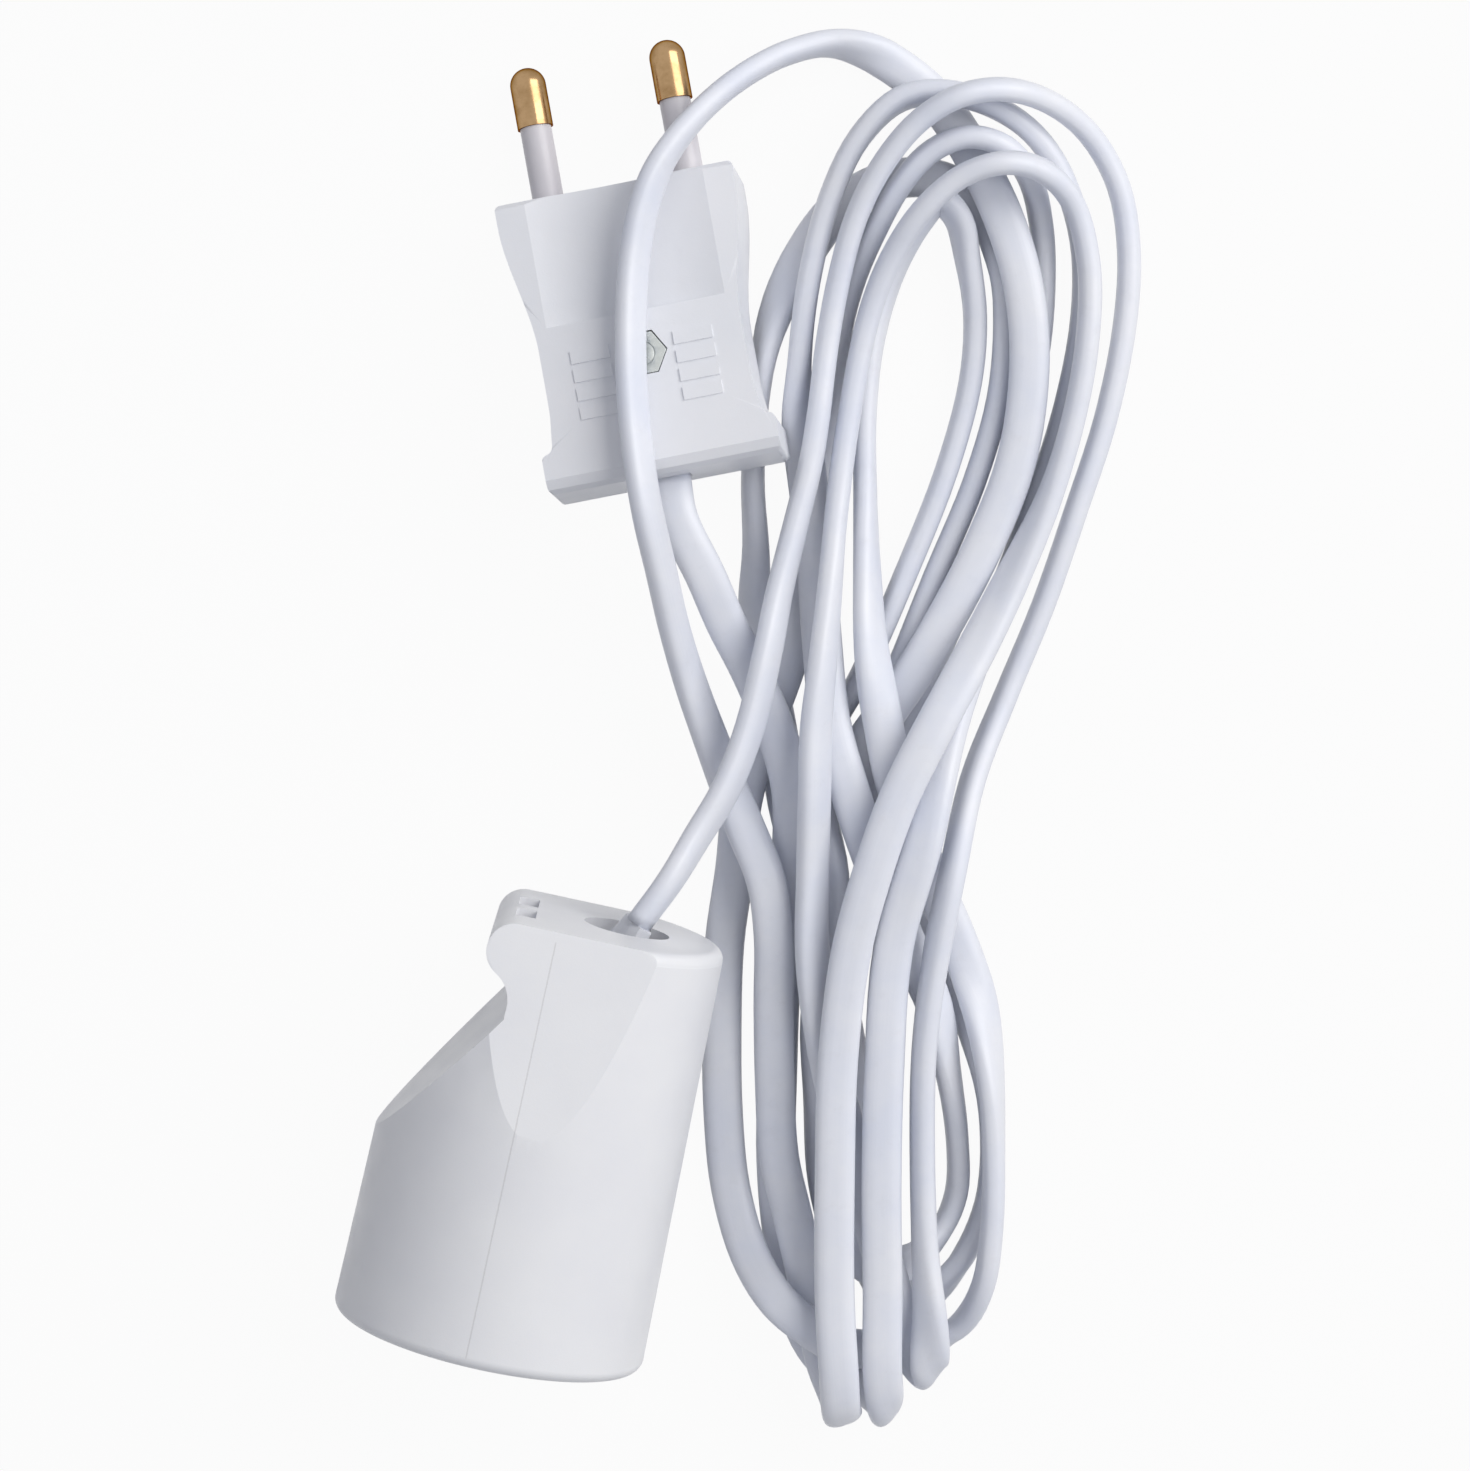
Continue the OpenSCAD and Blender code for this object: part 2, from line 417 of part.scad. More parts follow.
// ---- inside the coupler ----
tail_z = hood_r - 3.1 + cord_t / 2;
tail_s = body_end + 9.5 - hood_l / 2;
entry_out = [entry_x + 1.4, hood_l / 2 + 1, hood_r];
entry_dir = [sin(entry_slant), cos(entry_slant), 0];
module socket_cord_tail() color(white) cord([[clamp_x, tail_s, tail_z, 0], [clamp_x, tail_s + 4, tail_z, 0],
    [clamp_x, tail_s + 8, tail_z, 0], [clamp_x + 0.05, tail_s + 10, tail_z + 0.1, 5],
    [clamp_x + 0.2, tail_s + 12.5, tail_z + 0.4, 25], [clamp_x + 0.6, tail_s + 15, hood_r - 0.7, 50],
    concat(entry_out - entry_dir * 3.2, 65), concat(entry_out, 70)], oval8());
module socket_core_brown() core([[clamp_x + 1.2, tail_s, tail_z], [clamp_x + 1.2, tail_s - 1.2, tail_z],
    [8.1, tail_s - 3, hood_r - 0.6], [8.5, tail_s - 5, hood_r]], brown);
module socket_core_blue() core([[clamp_x - 1.2, tail_s, tail_z], [clamp_x - 1.2, tail_s - 1.3, tail_z],
    [4.4, tail_s - 2.5, tail_z], [2, tail_s - 3, hood_r - 1], [-2, tail_s - 3, hood_r - 0.6],
    [-6.2, tail_s - 3, hood_r], [-8, tail_s - 3.6, hood_r], [-8.5, tail_s - 5, hood_r]], blue);

// ---- the plug, in its own frame: y runs from its rear face to its pins, z is up ----
waist_y = 11;
waist_front = 18.5;
shoulder_l = 2.8;
nut_y = 15.9;
scoop_r = (scoop_w * scoop_w / 4 + scoop_depth * scoop_depth) / (2 * scoop_depth);
function laid(h) = [HANK_ORIGIN.x + h.x * cos(hank_turn) - h.y * sin(hank_turn),
    HANK_ORIGIN.y + h.x * sin(hank_turn) + h.y * cos(hank_turn), h.z];
module plug_place() translate(laid(PLUG_REAR)) rotate([-plug_pitch, 0, plug_turn])
    rotate([0, plug_roll, 0]) children();
function ease(t) = let (c = max(0, min(1, t))) c * c * (3 - 2 * c);
// half the body's width at y: full at the shoulder, in to the waist, out a little again
function side_at(y) = plug_waist_w / 2
    + (plug_front_w - plug_waist_w) / 2 * ease((y - waist_front) / (plug_l - shoulder_l - waist_front))
    + 0.5 * ease((waist_y - y) / (waist_y - plug_flange_l));
side_y = [for (i = [0:30]) 1 + (plug_l - 1) * i / 30];
module plug_outline() {
    offset(r = 0.8) offset(r = -2) offset(r = 1.2) {
        polygon(concat([for (y = side_y) [side_at(y), y]],
            [for (i = [len(side_y) - 1:-1:0]) [-side_at(side_y[i]), side_y[i]]]));
        translate([-plug_flange_w / 2, 0]) square([plug_flange_w, plug_flange_l]);
    }
}
module plug_solid() {
    difference() {
        intersection() {
            translate([0, 0, -plug_t / 2]) linear_extrude(plug_t) plug_outline();
            // the rear edge and the front edge are eased
            translate([-30, 0, 0]) rotate([90, 0, 90]) linear_extrude(60)
                polygon([[0, -plug_t / 2 + 2.2], [0.5, -plug_t / 2 + 0.9], [1.7, -plug_t / 2],
                    [plug_l - 0.6, -plug_t / 2], [plug_l, -plug_t / 2 + 0.6],
                    [plug_l, plug_t / 2 - 0.6], [plug_l - 0.6, plug_t / 2],
                    [1.7, plug_t / 2], [0.5, plug_t / 2 - 0.9], [0, plug_t / 2 - 2.2]]);
        }
        for (k = [-1, 1]) translate([0, plug_l - scoop_l, k * (plug_t / 2 - scoop_depth + scoop_r)])
            rod(scoop_r, scoop_l + 1, $fn = 360);
    }
}
// the room inside both halves: pin feet, cord channel, terminals, clamp, screw
module plug_room() {
    both(pin_gap / 2) {
        translate([0, plug_l - pin_foot - plug_gap, 0]) rod(sleeve_d / 2 + plug_gap, pin_foot + 2);
        translate([0, plug_l - pin_foot - 7, 0]) bar(6.3, 7.5, 6);
    }
    translate([0, plug_l - 9.15, 0]) bar(pin_gap + 6.5, 3.3, 5.2);
    translate([0, 10.9, 0]) bar(21, 3.6, 5.2);
    both(9) translate([0, 11, 0]) bar(3, 9.6, 5.2);
    translate([0, -1, 0.1]) bar(cord_w + 0.2, 13, cord_t + 0.2);
    translate([0, 4, cord_t / 2 + 1.2]) bar(13.4, 5, 2.8);
    both(4.6) translate([0, 6.5, -5.5]) cylinder(r = 1, h = 8);
    translate([0, nut_y, -plug_t]) cylinder(r = screw_d / 2 + 0.1, h = 2 * plug_t);
}
module half(k) intersection() {
    children();
    translate([-40, -40, k > 0 ? 0 : -40]) cube([80, 120, 40]);
}
module plug_upper_shell() color(white) plug_place() difference() {
    half(1) union() {
        plug_solid();
        for (i = [0:3]) both(6.9)
            translate([-2.6, nut_y - 7.2 + 2.5 * i, plug_t / 2 - 1]) cube([5.2, 1.7, 1.25]);
    }
    plug_room();
    translate([0, nut_y, plug_t / 2 - nut_h - 0.2])
        cylinder(r = (nut_af + 0.2) / 2 / cos(30), h = 5, $fn = 6);
}
module plug_lower_shell() color(white) plug_place() difference() {
    half(-1) plug_solid();
    plug_room();
    translate([0, nut_y, -plug_t]) cylinder(r = 3, h = plug_t / 2 + 2.2);
}
module plug_pin(x) color(brass) plug_place() translate([x, 0, 0]) difference() {
    union() {
        translate([0, plug_l + pin_l - pin_bare, 0]) rod(pin_d / 2, pin_bare - pin_d / 2);
        translate([0, plug_l - pin_foot, 0]) rod(pin_core_d / 2, pin_foot + pin_l - pin_bare + 0.1);
        intersection() {
            translate([0, plug_l + pin_l - pin_d / 2, 0]) sphere(pin_d / 2);
            translate([0, plug_l + pin_l - pin_d / 2, 0]) bar(8, 8, 8);
        }
        translate([0, plug_l - pin_foot - 6.6, 0]) bar(6, 6.6, 6);
    }
    translate([0, plug_l - pin_foot - 3.5, 0]) cylinder(r = 1.2, h = 5);
}
module plug_pin_left() plug_pin(-pin_gap / 2);
module plug_pin_right() plug_pin(pin_gap / 2);
// moulded round each pin; its square foot sits between the halves
module pin_sleeve(x) color(white) plug_place() translate([x, 0, 0]) difference() {
    translate([0, plug_l - 5.5, 0]) rod(sleeve_d / 2, 5.5 + pin_l - pin_bare);
    translate([0, plug_l - 6.5, 0]) rod(pin_core_d / 2, 8 + pin_l);
}
module pin_sleeve_left() pin_sleeve(-pin_gap / 2);
module pin_sleeve_right() pin_sleeve(pin_gap / 2);
module pin_bridge() color(white) plug_place() difference() {
    translate([0, plug_l - 9, 0]) bar(pin_gap + 6.2, 3, 5.2);
    both(pin_gap / 2) translate([0, plug_l - 10, 0]) rod(pin_core_d / 2, 6);
}
module plug_terminal_screws() color(steel) plug_place() both(pin_gap / 2)
    translate([0, plug_l - pin_foot - 3.5, 0.2]) cylinder(r = 1.2, h = 2.7);
module plug_cord_clamp() color(white) plug_place() difference() {
    translate([0, 4.5, cord_t / 2 + 0.75]) bar(13, 4, 1.5);
    both(4.6) translate([0, 6.5, 0]) cylinder(r = 1.1, h = 6);
}
module plug_clamp_screws() color(steel) plug_place() both(4.6) translate([0, 6.5, -5.5]) {
    cylinder(r = 1, h = 5.5 + cord_t / 2 + 1.5);
    translate([0, 0, 5.5 + cord_t / 2 + 1.5]) cylinder(r = 1.8, h = 0.9);
}
module plug_assembly_screw() color(steel) plug_place() translate([0, nut_y, 0]) difference() {
    union() {
        translate([0, 0, -plug_t / 2 + 0.6]) cylinder(r = 2.8, h = 1.6);
        translate([0, 0, -plug_t / 2 + 1]) cylinder(r = screw_d / 2, h = plug_t - 1.4);
    }
    translate([-0.4, -4, -plug_t / 2]) cube([0.8, 8, 1.3]);
}
module plug_nut() color(steel) plug_place() translate([0, nut_y, plug_t / 2 - nut_h - 0.2])
    difference() {
        cylinder(r = nut_af / 2 / cos(30), h = nut_h, $fn = 6);
        translate([0, 0, -1]) cylinder(r = screw_d / 2, h = 6);
    }
module plug_cord_tail() color(white) plug_place()
    translate([0, 0, 0]) bar(cord_w, 11.3, cord_t);
module plug_core(k, colour) plug_place() core([[k * 1.3, 11.3, 0], [k * 1.5, 12, 0],
    [k * 3.4, 12.6, 0], [k * 6.6, 12.9, 0], [k * 8.6, 14, 0], [k * 9, 16, 0],
    [k * 9, plug_l - pin_foot - 6.6, 0]], colour);
module plug_core_brown() plug_core(1, brown);
module plug_core_blue() plug_core(-1, blue);

// ---- the cord as it lies ----
plug_back = [sin(plug_turn) * cos(plug_pitch), -cos(plug_turn) * cos(plug_pitch), sin(plug_pitch)];
function laid_points(list) = [for (q = list) concat(laid(q), q[3])];
ROUTE = concat(
    [concat(laid(PLUG_REAR), plug_roll), concat(laid(PLUG_REAR) + plug_back * 5.5, plug_roll)],
    laid_points(PLUG_LEAD), laid_points(HANK), laid_points(COUPLER_LEAD),
    [concat(entry_out + entry_dir * 7, 70), concat(entry_out, 70)]);
plug_part = 2 + len(PLUG_LEAD);
hank_part = plug_part + len(HANK) - 1;
TANGENTS = along(ROUTE);
WIDTHS = widths(ROUTE, TANGENTS);
function part_of(list, a, b) = [for (i = [a:b]) list[i]];
// one tube between two points of the route, cut square to it at both ends
module stretch(a, b, shape) {
    n = len(shape);
    pts = [for (i = [a:b]) let (t = TANGENTS[i],
        w = unit(WIDTHS[i] - t * (WIDTHS[i] * t)), h = cross(t, w))
        for (q = shape) [ROUTE[i].x, ROUTE[i].y, ROUTE[i].z] + w * q.x + h * q.y];
    m = b - a + 1;
    sides = [for (i = [0:m - 2]) for (k = [0:n - 1]) let (l = (k + 1) % n)
        each [[i * n + k, i * n + n + k, i * n + n + l], [i * n + k, i * n + n + l, i * n + l]]];
    caps = [[for (k = [0:n - 1]) k], [for (k = [n - 1:-1:0]) (m - 1) * n + k]];
    polyhedron(pts, concat(caps, sides));
}
module cord_plug_end() color(white) stretch(0, plug_part, oval8());
module cord_hank() color(white) stretch(plug_part, hank_part, oval6());
module cord_socket_end() color(white) stretch(hank_part, len(ROUTE) - 1, oval8());

// The least gap between two places of the cord that lie more than 14 mm apart along it,
// taken at four places in every step of the route
steps = 4;
FINE = [for (i = [0:len(ROUTE) - 2]) for (k = [0:steps - 1]) let (f = k / steps)
    [for (j = [0:2]) ROUTE[i][j] * (1 - f) + ROUTE[i + 1][j] * f]];
FINE_W = [for (i = [0:len(ROUTE) - 2]) for (k = [0:steps - 1]) let (f = k / steps)
    unit(WIDTHS[i] * (1 - f) + WIDTHS[i + 1] * f) * (cord_w - cord_t) / 2];
STEP_L = [for (i = [0:len(FINE) - 2]) norm(FINE[i + 1] - FINE[i])];
REACHED = [for (i = 0, d = 0; i <= len(STEP_L); d = d + (i < len(STEP_L) ? STEP_L[i] : 0), i = i + 1) d];
function core_gap(i, j) = let (d = FINE[i] - FINE[j], a = FINE_W[i], b = FINE_W[j])
    min(norm(d + a + b), norm(d + a - b), norm(d - a + b), norm(d - a - b)) - cord_t;
module report_gaps() {
    close = [for (i = [0:len(FINE) - 1]) for (j = [i + 4:len(FINE) - 1])
        if (REACHED[j] - REACHED[i] > 14 && norm(FINE[i] - FINE[j]) < 7)
            let (g = core_gap(i, j)) if (g < 1) [g, floor(i / steps), floor(j / steps)]];
    least = min([for (c = close) c[0]]);
    echo(cord_length = REACHED[len(REACHED) - 1], least_gap = least);
    for (c = close) if (c[0] < 0.4) echo(tight = c);
}
report_gaps();
socket_hood();
socket_face();
contact_carrier();
contact_left();
contact_right();
socket_terminal_screws();
child_shutter();
shutter_spring();
socket_assembly_screw();
socket_cord_clamp();
socket_clamp_screws();
socket_core_brown();
socket_core_blue();
socket_cord_tail();
plug_upper_shell();
plug_lower_shell();
plug_pin_left();
plug_pin_right();
pin_sleeve_left();
pin_sleeve_right();
pin_bridge();
plug_terminal_screws();
plug_cord_clamp();
plug_clamp_screws();
plug_assembly_screw();
plug_nut();
plug_core_brown();
plug_core_blue();
plug_cord_tail();
cord_plug_end();
cord_hank();
cord_socket_end();
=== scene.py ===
# Household extension lead: a hooked round coupler, a flat two-pin plug and a flat twin
# cord laid in a loose hank. Everything is in metres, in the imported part's frame.
import math
import bpy
import numpy as np
from mathutils import Matrix


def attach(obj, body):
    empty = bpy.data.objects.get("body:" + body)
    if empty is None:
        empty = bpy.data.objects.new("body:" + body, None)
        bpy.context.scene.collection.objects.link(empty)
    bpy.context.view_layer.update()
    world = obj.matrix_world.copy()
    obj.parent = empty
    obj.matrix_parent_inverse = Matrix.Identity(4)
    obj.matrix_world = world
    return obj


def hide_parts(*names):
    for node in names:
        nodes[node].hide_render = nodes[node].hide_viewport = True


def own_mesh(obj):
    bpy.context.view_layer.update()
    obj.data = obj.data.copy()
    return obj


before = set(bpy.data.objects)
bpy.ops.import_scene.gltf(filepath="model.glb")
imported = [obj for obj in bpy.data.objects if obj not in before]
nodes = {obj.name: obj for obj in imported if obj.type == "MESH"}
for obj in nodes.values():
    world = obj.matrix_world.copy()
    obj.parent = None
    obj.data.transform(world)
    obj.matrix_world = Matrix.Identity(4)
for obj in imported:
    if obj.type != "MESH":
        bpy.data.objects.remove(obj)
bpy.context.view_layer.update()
scene = bpy.context.scene
MM = 0.001

# ------------------------------------------------------------------ camera
# The lead is seen from straight above, a little from the coupler's cord side, with the
# hank's length nearly upright in the frame.


def place(obj, at, target, up):
    """Stands a camera or lamp at a place, looking at the target, with up at its top."""
    at, target, up = (np.array(v, float) for v in (at, target, up))
    back = (at - target) / np.linalg.norm(at - target)
    side = np.cross(up, back)
    side /= np.linalg.norm(side)
    turn = np.eye(4)
    turn[:3, 0], turn[:3, 1], turn[:3, 2], turn[:3, 3] = side, np.cross(back, side), back, at
    obj.matrix_world = Matrix(turn.tolist())


camera = bpy.data.objects.new("camera", bpy.data.cameras.new("camera"))
scene.collection.objects.link(camera)
scene.camera = camera
camera.data.sensor_width = 36.0
camera.data.lens = 129.7
camera.data.clip_start = 0.01
camera.data.clip_end = 10.0
place(camera, (-0.0012, 0.1320, 0.71565), (0.0156, 0.0548, 0.0), (-0.213, 0.977, 0.0))

# ------------------------------------------------------------------ cord
# One length of flat twin flex in white PVC, held by a clamp at each end. It leaves the
# plug's rear, lies in a loose hank of seven turns and ends in the coupler's entry. The route
# repeats the part's points: [across, along, height, roll] in millimetres and degrees, in the
# hank's own frame, flat at roll 0 and on its edge at roll 90.
CORD_W = 5.4
CORD_T = 3.2
HANK_ORIGIN = (15.6, 54.8)
HANK_TURN = math.radians(12.3)
PLUG_REAR = (-8.5, 35.9, 15.3)
PLUG_TURN = math.radians(22.7)
PLUG_PITCH = math.radians(12)
PLUG_ROLL = -4
HOOD_L = 57.8
HOOD_R = 21.0
ENTRY_SLANT = math.radians(24)
PLUG_LEAD = [
    [-4, 23.2, 15.4, 0], [-1.2, 16.5, 12.8, 0], [2, 10, 10.2, 0], [4.6, 4, 10.4, 0],
    [6.8, -2.6, 9.4, 0], [7.7, -8, 7.8, 0]]
HANK = [
    # 1: the plug's lead goes down under the left loop and folds up over the end
    [7.6, -16, 6.2, 0], [7, -24, 5, 0], [6.2, -34, 3, 0], [5.8, -46, 1.8, 0],
    [5.6, -58, 1.8, 0], [6.4, -68, 1.8, 0], [8, -77, 1.8, 0], [10.8, -84, 1.8, 0],
    [14.6, -88, 1.8, 0], [18, -89.6, 2.4, 0], [20, -90.8, 4.6, 0], [20.6, -91.4, 8, 0],
    [20.3, -89.4, 11.8, 0], [19.9, -85, 13.8, 0], [19.9, -74, 13.9, 0], [19.7, -60, 13.9, 0],
    [20, -44, 13.8, 0], [21.2, -27, 13.8, 0], [25, -13, 14.8, 30],
    # up the right run under the front loop, over the top and down on the left
    [28.8, 2, 10.2, 60], [33.6, 14, 4.4, 80], [39, 28, 2.8, 90], [44.2, 44, 2.8, 90],
    [46.6, 57, 2.8, 90], [46.4, 67, 2.8, 90], [43.8, 75.4, 3.2, 90], [39.8, 81.2, 4.8, 90],
    [34, 85, 6.6, 80], [28, 86.6, 7.2, 70], [22, 85.8, 7.2, 80], [16.6, 80.8, 7, 90],
    [12.6, 72.6, 7.1, 90], [9.9, 62, 7.1, 90], [8.7, 52, 6.2, 80], [8.5, 44, 5.9, 30],
    # 2: across the waist and round the inner loop at the lower right
    [9.6, 36, 5.9, 0], [10.8, 26, 7.4, 0], [11.6, 14, 9.9, 0], [12.8, 3, 10.8, 0],
    [15.6, -7, 11.4, 0], [19, -17, 9.9, 10], [23, -27, 8.2, 20], [27, -36, 7.8, 50],
    [28.9, -45, 5.3, 85], [30.3, -55, 3.4, 90], [30.2, -62.6, 3, 90], [27.8, -68, 3.8, 70],
    [23.8, -71.4, 6, 10], [19, -72.2, 6.1, 0], [15, -68.4, 5.3, 10], [12.4, -61, 3, 50],
    [11.2, -51, 2.8, 80], [11, -41, 5, 40], [12.2, -29, 6.4, 30], [13.4, -18, 6.8, 80],
    [12.2, -10, 4.6, 85], [11.7, -4.4, 3, 90], [13.2, 1.4, 2.8, 90], [17, 8.4, 2.8, 90],
    [23, 22.2, 2.8, 90], [28.4, 36, 2.8, 90], [31.6, 48, 2.8, 90], [32.2, 57, 3, 85],
    [31, 65, 4.4, 70], [29.7, 70, 6.2, 60], [27.2, 72.4, 7, 60], [24.4, 69.6, 6.4, 60],
    [21.1, 63.2, 4.2, 75], [18.6, 54, 2.9, 90], [17.5, 44, 2.8, 90],
    # 3: down beside the front loop, across the waist and round the outer loop
    [17.5, 34, 3.6, 80], [17.7, 24, 6.6, 60], [18.2, 13, 11.2, 30], [19.6, 4, 12, 0],
    [21.4, -5, 10.6, 0], [23.8, -12, 8.6, 0], [27, -20, 6.8, 0], [30.4, -28, 6, 0],
    [33.2, -36.5, 6.6, 50], [34.6, -46, 8.8, 80], [35, -56, 9, 90], [34.8, -66, 9, 90],
    [33.8, -74, 8, 90], [31.2, -80, 4.6, 80], [27, -83.4, 2.2, 20], [22.6, -84, 2.4, 0],
    [18.2, -83.5, 6.4, 0], [14.4, -82.2, 9.7, 0], [10.4, -80, 9.4, 0], [5.8, -76.2, 9, 0],
    [2, -70.6, 5.2, 0], [-0.6, -62, 2.1, 0], [-1.6, -52, 1.8, 0], [-1.8, -40, 1.8, 0],
    [-1.4, -28, 1.8, 0], [0, -18, 1.8, 0], [1, -8.6, 3.4, 0], [3.6, 1, 6.2, 0],
    # up the left run, over the top and down under the flat run
    [7.2, 11.4, 6.2, 0], [9.3, 22, 3.6, 0], [10.6, 31.4, 2, 0], [12.2, 41, 1.9, 10],
    [13.3, 51, 2.8, 90], [15.7, 61, 3.4, 90], [19, 69, 6, 90], [22.4, 75, 7.4, 90],
    [26.2, 79, 8.4, 90], [30.8, 80.8, 9.2, 90], [35.6, 79.6, 9, 90], [39.2, 75.4, 6, 90],
    [41, 69, 3, 90], [41.4, 62, 2.8, 90], [40.8, 53, 2.8, 90], [39, 44, 2.8, 90],
    [35.6, 31, 2.8, 90],
    # 4: across the waist under everything and round the lowest loop
    [30.4, 18, 2.8, 90], [25.8, 7.6, 2.8, 90], [22.8, 1, 2.8, 90], [21.7, -4.4, 2.8, 90],
    [21.8, -11, 2.8, 80], [23.6, -19, 2.2, 20], [26.8, -28, 1.8, 0], [31.6, -36.4, 2.2, 20],
    [34, -45, 2.8, 80], [35, -55, 2.8, 90], [34.3, -64, 2.8, 90], [31.2, -71.4, 2.8, 80],
    [27.3, -76, 2.2, 20], [22.8, -77.6, 1.8, 0], [19.4, -74, 1.8, 0], [18.4, -66, 1.8, 0],
    [17.4, -57, 1.8, 0], [16, -47, 1.8, 0], [14.4, -38, 1.8, 0], [12.4, -29, 1.8, 0],
    [9.8, -19, 1.8, 0], [7.1, -9, 1.8, 0], [5.9, 0, 1.8, 0], [4.2, 9, 1.9, 10],
    [2.8, 18, 2.6, 60], [2.8, 26, 2.8, 80], [2.4, 35, 2.8, 90], [3, 45, 2.8, 90],
    [4.7, 55, 2.4, 40], [8.6, 64, 1.8, 0], [13.6, 71, 1.8, 0], [19.4, 74.6, 1.8, 0],
    [25.4, 75.4, 1.8, 0], [30.4, 73.6, 1.8, 0], [34.2, 70, 1.8, 10], [35.8, 64, 2.8, 80],
    # 5: down to the waist, folded up and back along the flat run
    [36.2, 56, 2.8, 90], [35.4, 46, 2.8, 90], [32.2, 34.6, 2.8, 90], [27, 22, 2.8, 90],
    [21.4, 8, 2.8, 90], [18.4, 1.4, 2.8, 85], [17.1, -3, 2.6, 45], [16.8, -6.4, 2.8, 10],
    [17, -7.8, 5, 0], [16.9, -5.8, 7.3, 0], [17.2, -1, 7.6, 0], [20.4, 4, 7.6, 0],
    [24.4, 10, 7.6, 0], [29.4, 18.6, 7.6, 0], [34, 28, 7.6, 0], [37.4, 37, 7.6, 0],
    [39, 46, 7.6, 0], [39.2, 55, 7.6, 0], [38, 63, 7.6, 0], [35.6, 70.4, 7.4, 0],
    [32.8, 76.4, 5.2, 0], [30, 81.4, 3, 0], [26.6, 86, 1.8, 0],
    # 6: the big left loop, over the plug and back under the coupler's lead
    [22, 89.8, 1.9, 10], [17.6, 92.2, 2.6, 50], [12.6, 93.2, 2.8, 80], [7.2, 92, 4.6, 80],
    [2, 89.4, 8, 80], [-3, 85.6, 12.4, 80], [-7.4, 80.8, 16.2, 70], [-10.4, 76, 18.2, 60],
    [-12.2, 70.6, 19, 60], [-13.2, 64.6, 19.4, 60], [-13.6, 58, 20.6, 60],
    [-13.6, 51, 22.2, 60], [-13.2, 44.6, 23.6, 60], [-12.4, 38, 25, 60],
    [-11.4, 32, 25, 60], [-9.8, 24.6, 21.6, 60], [-8, 16, 16.4, 60], [-5.8, 8, 12, 50],
    [-3, 0, 10, 40], [-0.8, -6, 9, 30], [1.6, -12, 9, 10], [4.2, -18.6, 9.6, 0],
    [5.2, -26, 8.8, 0], [5.2, -36, 6.6, 0], [5.4, -47, 5.6, 0], [6, -57, 5.6, 0],
    [7.8, -65, 5.6, 0], [9.4, -72, 5.6, 0], [11, -79.6, 5.5, 0], [12.5, -86, 5.5, 0],
    # folded up over the end, and up the front run to the top
    [14.1, -90, 6.6, 0], [14.6, -91.6, 9.8, 0], [14.3, -90, 13.2, 0], [14, -85, 14.9, 0],
    [13.4, -74, 14.9, 0], [13.4, -58, 14.8, 0], [13.8, -42, 14.8, 0], [15.4, -28, 15.6, 0],
    [18, -17.6, 16.4, 0], [21.8, -6.6, 16.4, 0], [26.6, 3, 15.6, 10], [32, 12.6, 12.6, 30],
    [37.2, 22.6, 9.8, 60], [42.2, 33.6, 8.8, 90], [45.4, 44.6, 8.8, 90], [47, 55, 8.8, 90],
    [47, 64, 8.8, 90], [44.8, 72, 10, 90], [40.4, 76.4, 13.8, 90], [35.4, 77.4, 15.4, 90],
    [29.8, 75.6, 14.6, 90], [24.6, 71, 13.2, 90], [20.6, 64.6, 10.6, 90], [17.8, 57, 8.8, 90],
    # 7: down the front run on the left and under it to the lower right
    [15.4, 45, 8.8, 90], [13.6, 32, 10.4, 90], [12.6, 21, 13.4, 70], [11.6, 11, 15.2, 60],
    [10.8, 3, 15.6, 50], [10.6, -6, 15.2, 50], [10.4, -17, 12.8, 50], [10.4, -28, 11.6, 40],
    [11.8, -39, 10.8, 30], [14, -49, 9.6, 10], [16.8, -59, 9.9, 0], [19.4, -68, 10.3, 0],
    [21.4, -75, 10.2, 0], [22.8, -80, 8.8, 0], [24.2, -83.8, 7.8, 0], [26, -85.8, 9.4, 0],
    [26.3, -84.2, 12, 30], [26.3, -78, 13.6, 60], [25.6, -68, 12.8, 80], [25.2, -54, 12.6, 80],
    [25.4, -41, 13.2, 80], [26.8, -29, 13.4, 70], [29.1, -17, 13, 75], [32, -5, 8, 80],
    [36.6, 6, 4, 90], [41.6, 18, 2.8, 90], [46, 31, 2.8, 90], [49.8, 43, 2.8, 90],
    [52.2, 55, 2.8, 90], [52.8, 65, 2.8, 90], [51.4, 74, 2.8, 90], [47.4, 81, 4.4, 90],
    [41.6, 85.4, 8.4, 90], [35.4, 87, 12.4, 90], [29.8, 86.2, 13.9, 90], [24.4, 83, 13, 90],
    [19.8, 77.6, 11.8, 90], [16.2, 70.6, 10.4, 90], [13.8, 62, 9.6, 90], [12.2, 53, 9.6, 90]]
COUPLER_LEAD = [
    [11.1, 44, 10.9, 85], [10.1, 37.8, 11.2, 80], [8.6, 31.6, 11.7, 75], [6, 21, 13.2, 65],
    [4.5, 13.6, 15.4, 60], [2, 3, 16.4, 60], [-1.2, -5.2, 17.6, 60], [-5, -11.4, 18.8, 65]]


def laid(p):
    """Turns points of the hank's frame about its origin, into the part's frame."""
    p = np.asarray(p, float)
    c, s = math.cos(HANK_TURN), math.sin(HANK_TURN)
    return np.stack([HANK_ORIGIN[0] + p[..., 0] * c - p[..., 1] * s,
                     HANK_ORIGIN[1] + p[..., 0] * s + p[..., 1] * c, p[..., 2]], -1)


def unit(v):
    """Each row over its own length."""
    return v / np.linalg.norm(v, axis=-1, keepdims=True)


